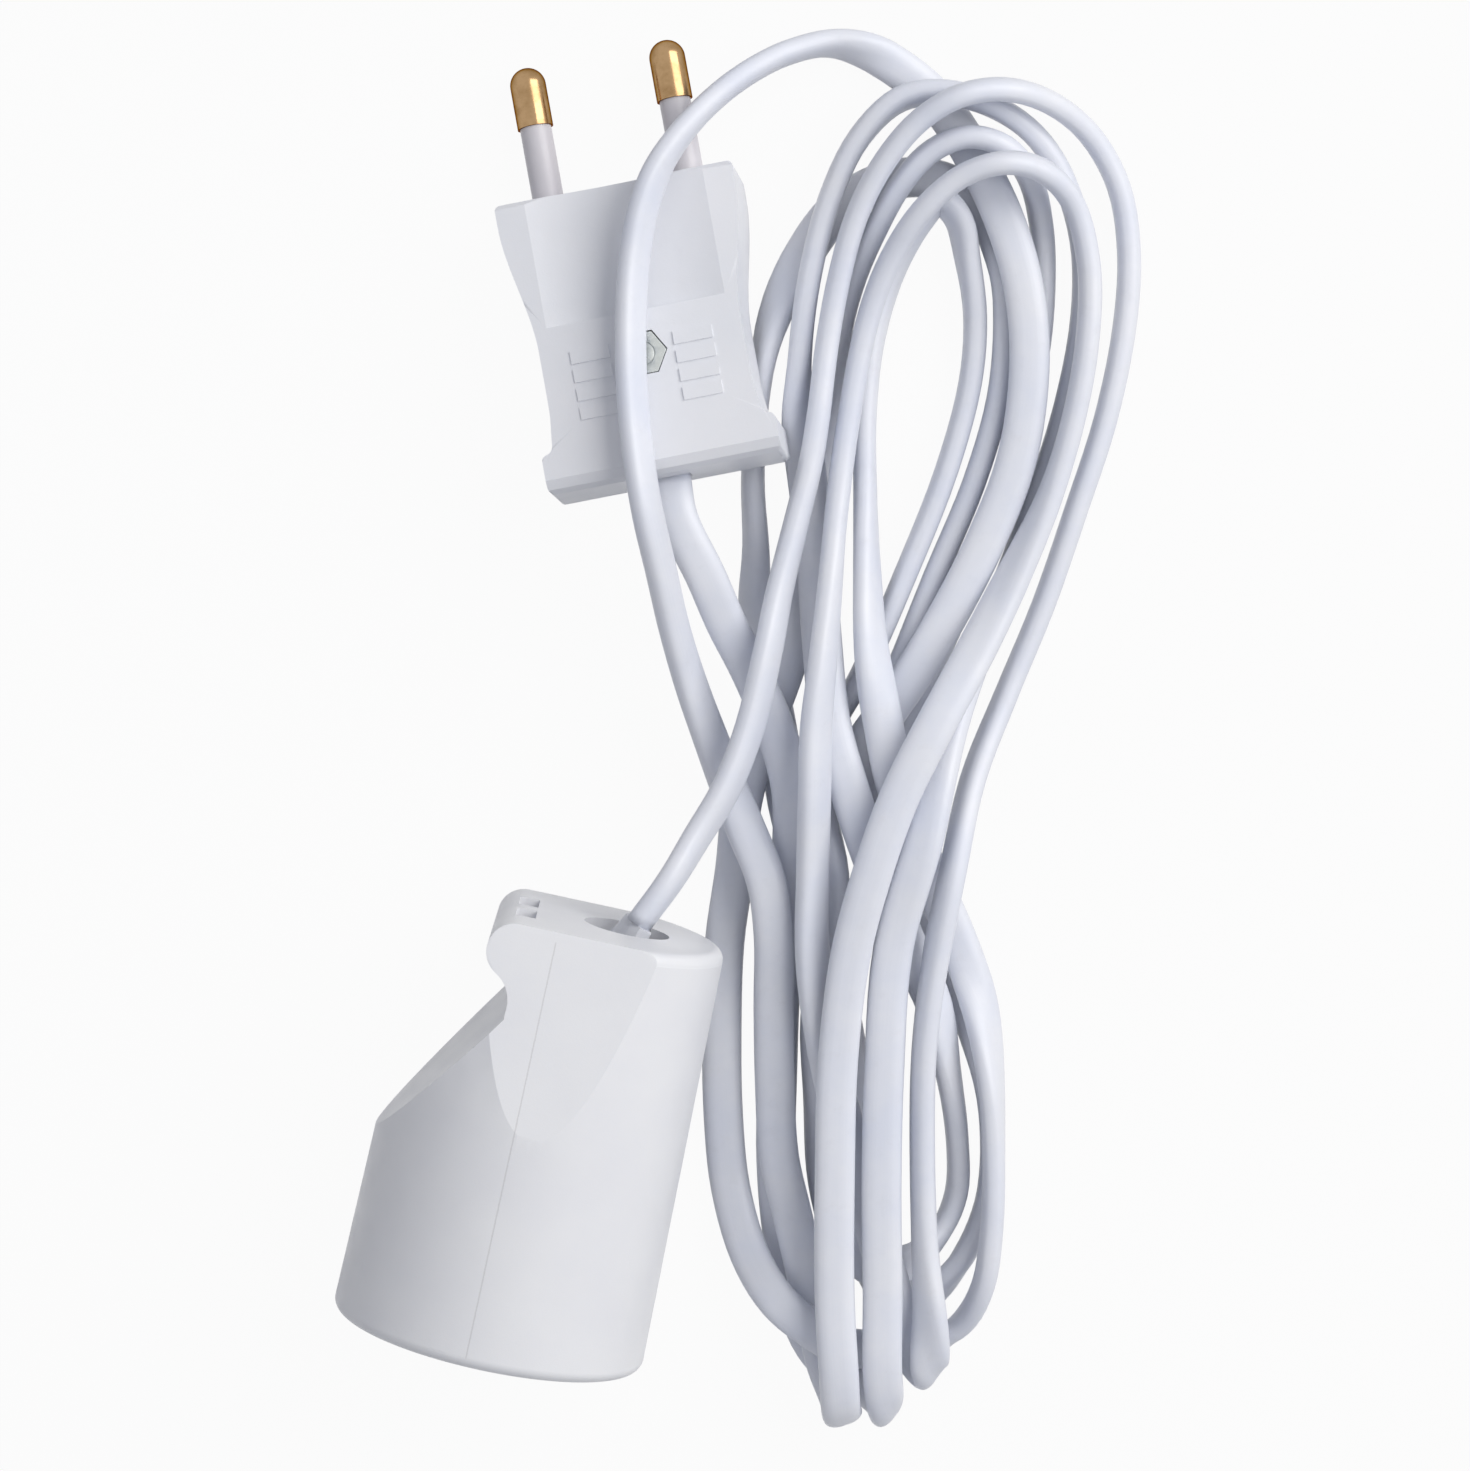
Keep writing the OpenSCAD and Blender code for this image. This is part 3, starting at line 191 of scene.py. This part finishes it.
def whole_route():
    """The plug's cord hole, the plug's lead, the hank, the coupler's lead and its entry."""
    rear = laid(PLUG_REAR)
    back = np.array([math.sin(PLUG_TURN) * math.cos(PLUG_PITCH),
                     -math.cos(PLUG_TURN) * math.cos(PLUG_PITCH), math.sin(PLUG_PITCH)])
    entry = np.array([8.0, HOOD_L / 2 + 1, HOOD_R])
    way = np.array([math.sin(ENTRY_SLANT), math.cos(ENTRY_SLANT), 0])
    middle = np.array(PLUG_LEAD + HANK + COUPLER_LEAD, float)
    return np.vstack([[*rear, PLUG_ROLL], [*(rear + back * 5.5), PLUG_ROLL],
                      np.column_stack([laid(middle[:, :3]), middle[:, 3]]),
                      [*(entry + way * 7), 70], [*entry, 70]])


def smooth(p, n):
    """Centripetal Catmull-Rom: knots grow by the square root of each chord, and each span
    of p is the usual pyramid of straight blends between its knots, at n even steps."""
    q = np.vstack([2 * p[0] - p[1], p, 2 * p[-1] - p[-2]])
    chord = np.sqrt(np.maximum(np.linalg.norm(np.diff(q[:, :3], axis=0), axis=1), 1e-6))
    a, b, c, d = q[:-3], q[1:-2], q[2:-1], q[3:]
    t1 = chord[:-2]
    t2 = t1 + chord[1:-1]
    t3 = t2 + chord[2:]
    u = t1[:, None] + (t2 - t1)[:, None] * np.linspace(0, 1, n, endpoint=False)

    def blend(v, w, s, e):
        f = ((u - s[:, None]) / (e - s)[:, None])[..., None]
        return v + (w - v) * f

    zero = 0 * t1
    e, f, g = (blend(v[:, None], w[:, None], s, k)
               for v, w, s, k in ((a, b, zero, t1), (b, c, t1, t2), (c, d, t2, t3)))
    h, j = blend(e, f, zero, t2), blend(f, g, t1, t3)
    return np.vstack([blend(h, j, t1, t2).reshape(-1, p.shape[1]), p[-1:]])


def width_axes(x, roll, pull):
    """The way the cord's width points: carried on square to the path from step to step and
    drawn a little each time towards the asked roll from level, less where the path is steep."""
    t = unit(np.gradient(x, axis=0))
    level = np.linalg.norm(t[:, :2], axis=1)
    h = np.stack([t[:, 1], -t[:, 0], 0 * level], 1)
    h = np.where(level[:, None] > 1e-6, h / np.maximum(level, 1e-6)[:, None], [1.0, 0, 0])
    r = np.radians(roll)[:, None]
    goal = h * np.cos(r) + np.cross(h, t) * np.sin(r)
    wide = [goal[0]]
    for d, g, k in zip(t, goal, pull * level ** 2):
        w = unit(wide[-1] - d * np.dot(wide[-1], d))
        w = w + g * (k if np.dot(w, g) >= 0 else -k)
        wide.append(unit(w - d * np.dot(w, d)))
    return np.array(wide[1:])


def flex_section(n=28):
    """A superellipse: cos and sin of the angle, each to a power under one, so that the two
    faces are nearly flat and the edges round, with a trace of a dip between the cores."""
    a = np.linspace(0, 2 * math.pi, n, endpoint=False)
    x = np.sign(np.cos(a)) * np.abs(np.cos(a)) ** (2 / 2.3)
    y = np.sign(np.sin(a)) * np.abs(np.sin(a)) ** (2 / 2.6)
    return np.column_stack([x * CORD_W / 2, y * (CORD_T / 2 - 0.05 * np.exp(-(x / 0.22) ** 2))])


def grid_mesh(name, grid, material):
    """A grid of points in millimetres, rows along and columns round, as a capped skin with
    a UV map: along in metres, and round from 0 to 1."""
    m, n = grid.shape[:2]
    i, k = np.meshgrid(np.arange(m - 1), np.arange(n), indexing="ij")
    beside = (k + 1) % n
    quads = np.stack([i * n + k, i * n + n + k, i * n + n + beside, i * n + beside], -1)
    quads = quads.reshape(-1, 4)
    mesh = bpy.data.meshes.new(name)
    ends = [list(range(n)), list(range(m * n - 1, (m - 1) * n - 1, -1))]
    mesh.from_pydata((grid.reshape(-1, 3) * MM).tolist(), [], quads.tolist() + ends)
    steps = np.linalg.norm(np.diff(grid.mean(1), axis=0), axis=1)
    along = np.concatenate([[0], np.cumsum(steps)]) * MM
    around = np.arange(n + 1) / n
    uv = np.stack([np.stack([along[i], along[i + 1], along[i + 1], along[i]], -1),
                   np.stack([around[k], around[k], around[k + 1], around[k + 1]], -1)], -1)
    flat = np.concatenate([uv.reshape(-1), np.zeros(4 * n)])
    mesh.uv_layers.new(name="along_round").data.foreach_set("uv", flat)
    mesh.polygons.foreach_set("use_smooth", np.r_[np.ones(len(quads), bool), False, False])
    mesh.materials.append(material)
    mesh.validate()
    obj = bpy.data.objects.new(name, mesh)
    scene.collection.objects.link(obj)
    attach(obj, "lead")
    return obj


def carried(x, wide, section):
    """The section set at each point of x, its first axis along wide and its second square
    to both wide and the path."""
    t = unit(np.gradient(x, axis=0))
    w = unit(wide - t * np.sum(wide * t, 1, keepdims=True))
    h = np.cross(t, w)
    return x[:, None] + w[:, None] * section[:, :1] + h[:, None] * section[:, 1:]


def linear(hex_colour):
    """A colour from its sRGB hex form to linear light."""
    v = [int(hex_colour[i:i + 2], 16) / 255 for i in (1, 3, 5)]
    return [c / 12.92 if c <= 0.04045 else ((c + 0.055) / 1.055) ** 2.4 for c in v] + [1]


def add(tree, kind, result=0, **given):
    """Adds a node and gives back one of its outputs. What is given is a setting of the node
    where it has one by that name, and else an input, by its label or, after an i, its
    number, set to a value or linked to another node's output."""
    node = tree.nodes.new(kind)
    for key, value in given.items():
        if hasattr(node, key):
            setattr(node, key, value)
            continue
        key = key.replace("_", " ")
        socket = node.inputs[int(key[1:])] if key[1:].isdigit() else node.inputs[key]
        if isinstance(value, bpy.types.NodeSocket):
            tree.links.new(value, socket)
        else:
            socket.default_value = value
    return node.outputs[result] if node.outputs else None


def new_material(name):
    """An empty material and its node tree."""
    material = bpy.data.materials.new(name)
    material.use_nodes = True
    material.node_tree.nodes.clear()
    return material, material.node_tree


WAVER_L = 6  # mm, a slow waver of the sheath
DIE_LINE_L = 33  # mm, over which a die line holds
DIE_LINES = 26  # round the sheath
MOTTLE_L = 14  # mm, patches of milkier PVC
HANDLING_L = 3  # mm, patches worn dull
SHEATH_GRAIN = 0.4  # mm


def soft_pvc():
    """The sheath is plasticised PVC, drawn through a die: milky, with a soft broad gloss, die
    lines along it, a slow waver of the surface, and duller, greyer patches from handling.
    The die lines are really finer than 0.1 mm and are drawn 0.5 mm wide, to show."""
    material, tree = new_material("soft_pvc")
    at = add(tree, "ShaderNodeTexCoord", "Object")
    uv = add(tree, "ShaderNodeUVMap", uv_map="along_round")
    die_lines = add(tree, "ShaderNodeTexNoise", "Fac", Detail=3.0, Roughness=0.6, Scale=1.0,
                    Vector=add(tree, "ShaderNodeMapping", Vector=uv,
                               Scale=(1 / (DIE_LINE_L * MM), DIE_LINES, 1)))
    waver = add(tree, "ShaderNodeTexNoise", "Fac", Detail=2.0, Scale=1.0,
                Vector=add(tree, "ShaderNodeMapping", Vector=uv,
                           Scale=(1 / (WAVER_L * MM), 2, 1)))
    mottle = add(tree, "ShaderNodeTexNoise", "Fac", Vector=at, Scale=1 / (MOTTLE_L * MM),
                 Detail=4.0, Roughness=0.6)
    handling = add(tree, "ShaderNodeTexNoise", "Fac", Vector=at, Scale=1 / (HANDLING_L * MM),
                   Detail=6.0, Roughness=0.7)
    grain = add(tree, "ShaderNodeTexNoise", "Fac", Vector=at, Scale=1 / (SHEATH_GRAIN * MM),
                Detail=2.0)
    tint = add(tree, "ShaderNodeMix", 2, data_type="RGBA", i6=linear("#e9ebf1"),
               i7=linear("#dfe3ee"),
               i0=add(tree, "ShaderNodeMapRange", Value=mottle, From_Min=0.35, From_Max=0.68))
    dull = add(tree, "ShaderNodeMapRange", Value=handling, From_Min=0.56, From_Max=0.74,
               To_Max=0.22)
    colour = add(tree, "ShaderNodeMix", 2, data_type="RGBA", i0=dull, i6=tint,
                 i7=linear("#d3d4da"))
    gloss = add(tree, "ShaderNodeMapRange", From_Min=0.3, From_Max=1.0, To_Min=0.36, To_Max=0.56,
                Value=add(tree, "ShaderNodeMath", operation="ADD", i0=mottle, i1=dull))
    relief = add(tree, "ShaderNodeBump", Height=waver, Distance=0.12 * MM, Strength=0.5)
    relief = add(tree, "ShaderNodeBump", Height=die_lines, Distance=0.03 * MM, Strength=0.55,
                 Normal=relief)
    relief = add(tree, "ShaderNodeBump", Height=grain, Distance=0.01 * MM, Strength=0.5,
                 Normal=relief)
    surface = add(tree, "ShaderNodeBsdfPrincipled", Base_Color=colour, Roughness=gloss, IOR=1.53,
                  Subsurface_Weight=0.08, Subsurface_Radius=[0.0016, 0.0016, 0.0017],
                  Subsurface_Scale=1.0, Normal=relief)
    add(tree, "ShaderNodeOutputMaterial", Surface=surface)
    return material


points = smooth(whole_route(), 5)
centre, roll = points[:, :3], points[:, 3]
wide = width_axes(centre, roll, 0.5)
centre, wide = centre[::-1], wide[::-1]
cord = grid_mesh("cord", carried(centre, wide, flex_section()), soft_pvc())
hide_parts("cord_plug_end", "cord_hank", "cord_socket_end")

# ------------------------------------------------------------------ coupler's hood
# The coupler's outer moulding in white thermoplastic: a round body with a slanted cut, a
# finger notch under the hook and two flats, made in a split mould that leaves a fine seam.
SEAM_X = -2.2
SEAM_END = 1.4  # mm that the seam stops short of each end
DRIFT_L = 17  # mm, a slow drift of the plastic's shade
FLOW_L = 3.3  # mm, flow marks from the mould
RUB_L = 2  # mm, rubbed streaks
MOULD_GRAIN = 0.25  # mm


def moulded(name, light, dark, rough, grain=1.0, seam=None, ior=1.5):
    """Thermoplastic out of a spark-eroded mould: an even satin with a slow drift of shade
    10 to 20 mm wide, flow marks of some 3 mm, a few rubbed streaks along the piece and the
    mould's grain. The grain is really 0.05 mm and is drawn 0.25 mm wide, to show. Where
    seam gives its x, the mould's parting leaves a hair line on the outside."""
    material, tree = new_material(name)
    at = add(tree, "ShaderNodeTexCoord", "Object")
    drift = add(tree, "ShaderNodeTexNoise", "Fac", Vector=at, Scale=1 / (DRIFT_L * MM), Detail=4.0)
    flow = add(tree, "ShaderNodeTexNoise", "Fac", Vector=at, Scale=1 / (FLOW_L * MM), Detail=5.0,
               Roughness=0.6)
    fine = add(tree, "ShaderNodeTexNoise", "Fac", Vector=at, Scale=1 / (MOULD_GRAIN * MM),
               Detail=2.0)
    streaks = add(tree, "ShaderNodeTexNoise", "Fac", Scale=1 / (RUB_L * MM), Detail=3.0,
                  Roughness=0.7,
                  Vector=add(tree, "ShaderNodeMapping", Vector=at, Scale=(7, 1, 7)))
    rubbed = add(tree, "ShaderNodeMapRange", Value=streaks, From_Min=0.62, From_Max=0.78)
    colour = add(tree, "ShaderNodeMix", 2, data_type="RGBA", i6=linear(light), i7=linear(dark),
                 i0=add(tree, "ShaderNodeMapRange", Value=drift, From_Min=0.32, From_Max=0.7))
    gloss = add(tree, "ShaderNodeMapRange", Value=flow, From_Min=0.35, From_Max=0.65,
                To_Min=rough - 0.05, To_Max=rough + 0.07)
    gloss = add(tree, "ShaderNodeMath", operation="MULTIPLY_ADD", i0=rubbed, i1=-0.06, i2=gloss)
    relief = add(tree, "ShaderNodeBump", Height=flow, Distance=0.03 * MM * grain, Strength=0.5)
    if seam is not None:
        apart = add(tree, "ShaderNodeSeparateXYZ", "X", Vector=at)
        along = add(tree, "ShaderNodeSeparateXYZ", "Y", Vector=at)
        off = add(tree, "ShaderNodeMath", operation="ABSOLUTE",
                  i0=add(tree, "ShaderNodeMath", operation="SUBTRACT", i0=apart, i1=seam * MM))
        uneven = add(tree, "ShaderNodeMapRange", Value=fine, From_Min=0.3, From_Max=0.7,
                     To_Min=0.7, To_Max=1.25)
        line = add(tree, "ShaderNodeMapRange", From_Min=0.04 * MM, From_Max=0.14 * MM,
                   To_Min=1.0, To_Max=0.0,
                   Value=add(tree, "ShaderNodeMath", operation="MULTIPLY", i0=off, i1=uneven))
        inside_ends = add(tree, "ShaderNodeMapRange", To_Min=1.0, To_Max=0.0,
                          From_Min=(HOOD_L / 2 - SEAM_END - 0.2) * MM,
                          From_Max=(HOOD_L / 2 - SEAM_END + 0.2) * MM,
                          Value=add(tree, "ShaderNodeMath", operation="ABSOLUTE", i0=along))
        line = add(tree, "ShaderNodeMath", operation="MULTIPLY", i0=line, i1=inside_ends)
        faint = add(tree, "ShaderNodeMath", operation="MULTIPLY", i0=line, i1=0.3)
        colour = add(tree, "ShaderNodeMix", 2, data_type="RGBA", i0=faint, i6=colour,
                     i7=linear("#a9a6a6"))
        relief = add(tree, "ShaderNodeBump", Height=line, Distance=-0.03 * MM, Strength=0.5,
                     Normal=relief)
    relief = add(tree, "ShaderNodeBump", Height=fine, Distance=0.012 * MM * grain, Strength=0.6,
                 Normal=relief)
    surface = add(tree, "ShaderNodeBsdfPrincipled", Base_Color=colour, Roughness=gloss, IOR=ior,
                  Subsurface_Weight=0.05, Subsurface_Radius=[0.002, 0.0018, 0.0016],
                  Subsurface_Scale=1.0, Normal=relief)
    add(tree, "ShaderNodeOutputMaterial", Surface=surface)
    return material


def dress(material, *names):
    """Gives the part's own solids a finish in every slot they have."""
    for name in names:
        for slot in nodes[name].material_slots:
            slot.material = material


WELD_GAP = 0.002  # mm, under which corners of a solid's triangles are one
SHARP_EDGE = math.radians(10)  # over which an edge counts as sharp


def ease_edges(width, *names, segments=3):
    """Joins a solid's triangles and rounds its sharp edges by width in millimetres."""
    for name in names:
        join = nodes[name].modifiers.new("joined", "WELD")
        join.merge_threshold = WELD_GAP * MM
        ease = nodes[name].modifiers.new("eased", "BEVEL")
        ease.width = width * MM
        ease.segments = segments
        ease.limit_method = "ANGLE"
        ease.angle_limit = SHARP_EDGE
        even_out = nodes[name].modifiers.new("shaded_by_area", "WEIGHTED_NORMAL")
        even_out.weight = 60


dress(moulded("hood_polypropylene", "#eff0f2", "#e9eaee", 0.42, seam=SEAM_X), "socket_hood")
ease_edges(0.5, "socket_hood")

# ------------------------------------------------------------------ coupler's insert
# The face with the two pin holes, the carrier of the contacts behind it, the child shutter
# and the clamp's bridge, all in the same white plastic from a smoother mould.
insert = moulded("insert_abs", "#ecedf0", "#e4e5ea", 0.36, grain=0.6, ior=1.54)
dress(insert, "socket_face", "contact_carrier", "socket_cord_clamp", "child_shutter")
ease_edges(0.25, "socket_face", "contact_carrier", segments=2)
ease_edges(0.15, "child_shutter", "socket_cord_clamp", segments=2)

# ------------------------------------------------------------------ shutter's spring
# A small coil of hard-drawn wire above the shutter, with its end turns closed. It is
# squeezed against the carrier as the shutter is pushed up.
SPRING_AT = (0.0, -13.7)
SPRING_LOW = 24.4
SPRING_HIGH = 32.0
SPRING_R = 0.8
SPRING_WIRE = 0.4
SPRING_TURNS = 5
FILM_L = 2.4  # mm, patches of dull film on a metal
MARK_L = 0.4  # mm, machining marks


def worked_metal(name, colour, film, rough, marks=(1, 1, 1), edge="#ffffff"):
    """Bare metal: a mirror blurred by fine machining marks, stretched as marks says, with a
    thin dull film in patches of some 2 mm. The marks are really 0.02 mm apart and are
    drawn 0.4 mm apart, to show. Edge is the tint of its glancing reflection."""
    material, tree = new_material(name)
    at = add(tree, "ShaderNodeTexCoord", "Object")
    dull = add(tree, "ShaderNodeTexNoise", "Fac", Vector=at, Scale=1 / (FILM_L * MM), Detail=5.0,
               Roughness=0.62)
    lines = add(tree, "ShaderNodeTexNoise", "Fac", Scale=1 / (MARK_L * MM), Detail=3.0,
                Roughness=0.6,
                Vector=add(tree, "ShaderNodeMapping", Vector=at, Scale=marks))
    shade = add(tree, "ShaderNodeMix", 2, data_type="RGBA", i6=linear(colour), i7=linear(film),
                i0=add(tree, "ShaderNodeMapRange", Value=dull, From_Min=0.42, From_Max=0.74,
                       To_Max=0.8))
    gloss = add(tree, "ShaderNodeMath", operation="MULTIPLY_ADD", i0=lines, i1=0.1,
                i2=add(tree, "ShaderNodeMapRange", Value=dull, From_Min=0.3, From_Max=0.75,
                       To_Min=rough - 0.09, To_Max=rough + 0.09))
    relief = add(tree, "ShaderNodeBump", Height=lines, Distance=0.01 * MM, Strength=0.7)
    surface = add(tree, "ShaderNodeBsdfPrincipled", Base_Color=shade, Metallic=1.0,
                  Roughness=gloss, Specular_Tint=linear(edge), Normal=relief)
    add(tree, "ShaderNodeOutputMaterial", Surface=surface)
    return material


def coil(radius, wire, turns, low, high, steps=40):
    """A helix whose rise is slow over the first and last turn, where the coils lie closed,
    and even between, with a round wire carried along it."""
    s = np.linspace(0, turns, int(turns * steps) + 1)
    closed = wire * 1.05
    first, last = low + wire / 2, high - wire / 2
    rise = np.interp(s, [0, 1, turns - 1, turns], [first, first + closed, last - closed, last])
    a = 2 * math.pi * s
    x = np.stack([SPRING_AT[0] + radius * np.cos(a), SPRING_AT[1] + radius * np.sin(a), rise], 1)
    r = np.linspace(0, 2 * math.pi, 10, endpoint=False)
    section = np.column_stack([np.cos(r), np.sin(r)]) * wire / 2
    return carried(x, np.tile([0.0, 0, 1], (len(x), 1)), section)


steel = worked_metal("zinc_plated_steel", "#c9cdcc", "#a9aeac", 0.27, (1, 1, 6))
spring = grid_mesh("spring", coil(SPRING_R, SPRING_WIRE, SPRING_TURNS, SPRING_LOW, SPRING_HIGH),
                   steel)
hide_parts("shutter_spring")
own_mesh(spring)

# ------------------------------------------------------------------ screws and the plug's nut
# Zinc-plated steel: terminal, clamp and assembly screws, and the hexagonal nut that shows
# in the plug's top face.
dress(steel, "socket_terminal_screws", "socket_assembly_screw", "socket_clamp_screws",
      "plug_terminal_screws", "plug_clamp_screws", "plug_assembly_screw", "plug_nut")
ease_edges(0.12, "plug_nut", "socket_assembly_screw", "plug_assembly_screw", segments=2)

# ------------------------------------------------------------------ contacts
# Two sprung tubes rolled and stamped from brass strip, each with a screw terminal.
dress(worked_metal("stamped_brass", "#c9a765", "#a98a50", 0.3, (1, 8, 1)),
      "contact_left", "contact_right")

# ------------------------------------------------------------------ cores and cord tails
# The ends of the flex inside both fittings: the sheath stripped back from a brown and a
# blue core.
dress(moulded("brown_pvc", "#6b4028", "#5e3822", 0.4), "socket_core_brown", "plug_core_brown")
dress(moulded("blue_pvc", "#2f66b0", "#29599c", 0.4), "socket_core_blue", "plug_core_blue")
dress(moulded("sheath_pvc", "#e6e8ee", "#dcdfe8", 0.42), "socket_cord_tail", "plug_cord_tail")

# ------------------------------------------------------------------ plug's body
# Two white halves screwed together, waisted for the fingers, with a scoop in each face, two
# panels of low ribs beside the nut and a flange at the rear.
shell = moulded("plug_polypropylene", "#ecedf1", "#e6e8ed", 0.44)
dress(shell, "plug_upper_shell", "plug_lower_shell", "plug_cord_clamp", "pin_bridge")
ease_edges(0.4, "plug_upper_shell", "plug_lower_shell")

# ------------------------------------------------------------------ pins and their sleeves
# Turned brass pins with round ends. The half next to the plug is thinner and has a grey
# sleeve moulded over it.
dress(worked_metal("turned_brass", "#b0916c", "#8e6f4a", 0.17, (1, 1, 1), "#8a6a44"),
      "plug_pin_left", "plug_pin_right")
dress(moulded("grey_nylon", "#dbd8dc", "#d2cfd5", 0.36, grain=0.5),
      "pin_sleeve_left", "pin_sleeve_right")

# ------------------------------------------------------------------ floor
# The pale table top that the lead lies on. Seen straight on it is white, with only a trace
# of the lead's shadow, and for the light it is a plain light grey.


def seen_directly(tree):
    """1 for rays from the camera and for reflected or refracted ones, and 0 for the rest."""
    camera_ray = add(tree, "ShaderNodeLightPath", "Is Camera Ray")
    glossy_ray = add(tree, "ShaderNodeLightPath", "Is Glossy Ray")
    through_ray = add(tree, "ShaderNodeLightPath", "Is Transmission Ray")
    either = add(tree, "ShaderNodeMath", operation="MAXIMUM", i0=camera_ray, i1=glossy_ray)
    return add(tree, "ShaderNodeMath", operation="MAXIMUM", i0=either, i1=through_ray)


def pale_table_top(white_share):
    """Plain light grey for the light, and white by its share where it is seen."""
    material, tree = new_material("floor")
    share = add(tree, "ShaderNodeMath", operation="MULTIPLY", i0=seen_directly(tree),
                i1=white_share)
    add(tree, "ShaderNodeOutputMaterial",
        Surface=add(tree, "ShaderNodeMixShader", i0=share,
                    i1=add(tree, "ShaderNodeBsdfDiffuse", Color=linear("#bcbcbe")),
                    i2=add(tree, "ShaderNodeEmission", Strength=1.0)))
    return material


FLOOR_HALF = 3.0
FLOOR_Z = -0.0003
corners = [(x * FLOOR_HALF, y * FLOOR_HALF, FLOOR_Z)
           for x, y in ((-1, -1), (1, -1), (1, 1), (-1, 1))]
floor_mesh = bpy.data.meshes.new("floor")
floor_mesh.from_pydata(corners, [], [(0, 1, 2, 3)])
floor_mesh.materials.append(pale_table_top(0.95))
floor = bpy.data.objects.new("floor", floor_mesh)
scene.collection.objects.link(floor)

# ------------------------------------------------------------------ light
# One large soft lamp from the upper right and an even pale sky.
scene.world = bpy.data.worlds.new("sky")
scene.world.use_nodes = True
sky = scene.world.node_tree
sky.nodes.clear()
add(sky, "ShaderNodeOutputWorld",
    Surface=add(sky, "ShaderNodeMixShader", i0=seen_directly(sky),
                i1=add(sky, "ShaderNodeBackground", Color=linear("#f0f2fa"), Strength=0.45),
                i2=add(sky, "ShaderNodeBackground", Color=(1, 1, 1, 1), Strength=1.0)))

lamp = bpy.data.objects.new("lamp", bpy.data.lights.new("lamp", "AREA"))
lamp.data.shape = "SQUARE"
lamp.data.size = 0.85
lamp.data.energy = 7.6
lamp.data.color = linear("#fffdfa")[:3]
scene.collection.objects.link(lamp)
place(lamp, (0.52, 0.58, 0.68), (0.015, 0.05, 0.0), (0, 1, 0.01))

scene.view_settings.view_transform = "Standard"
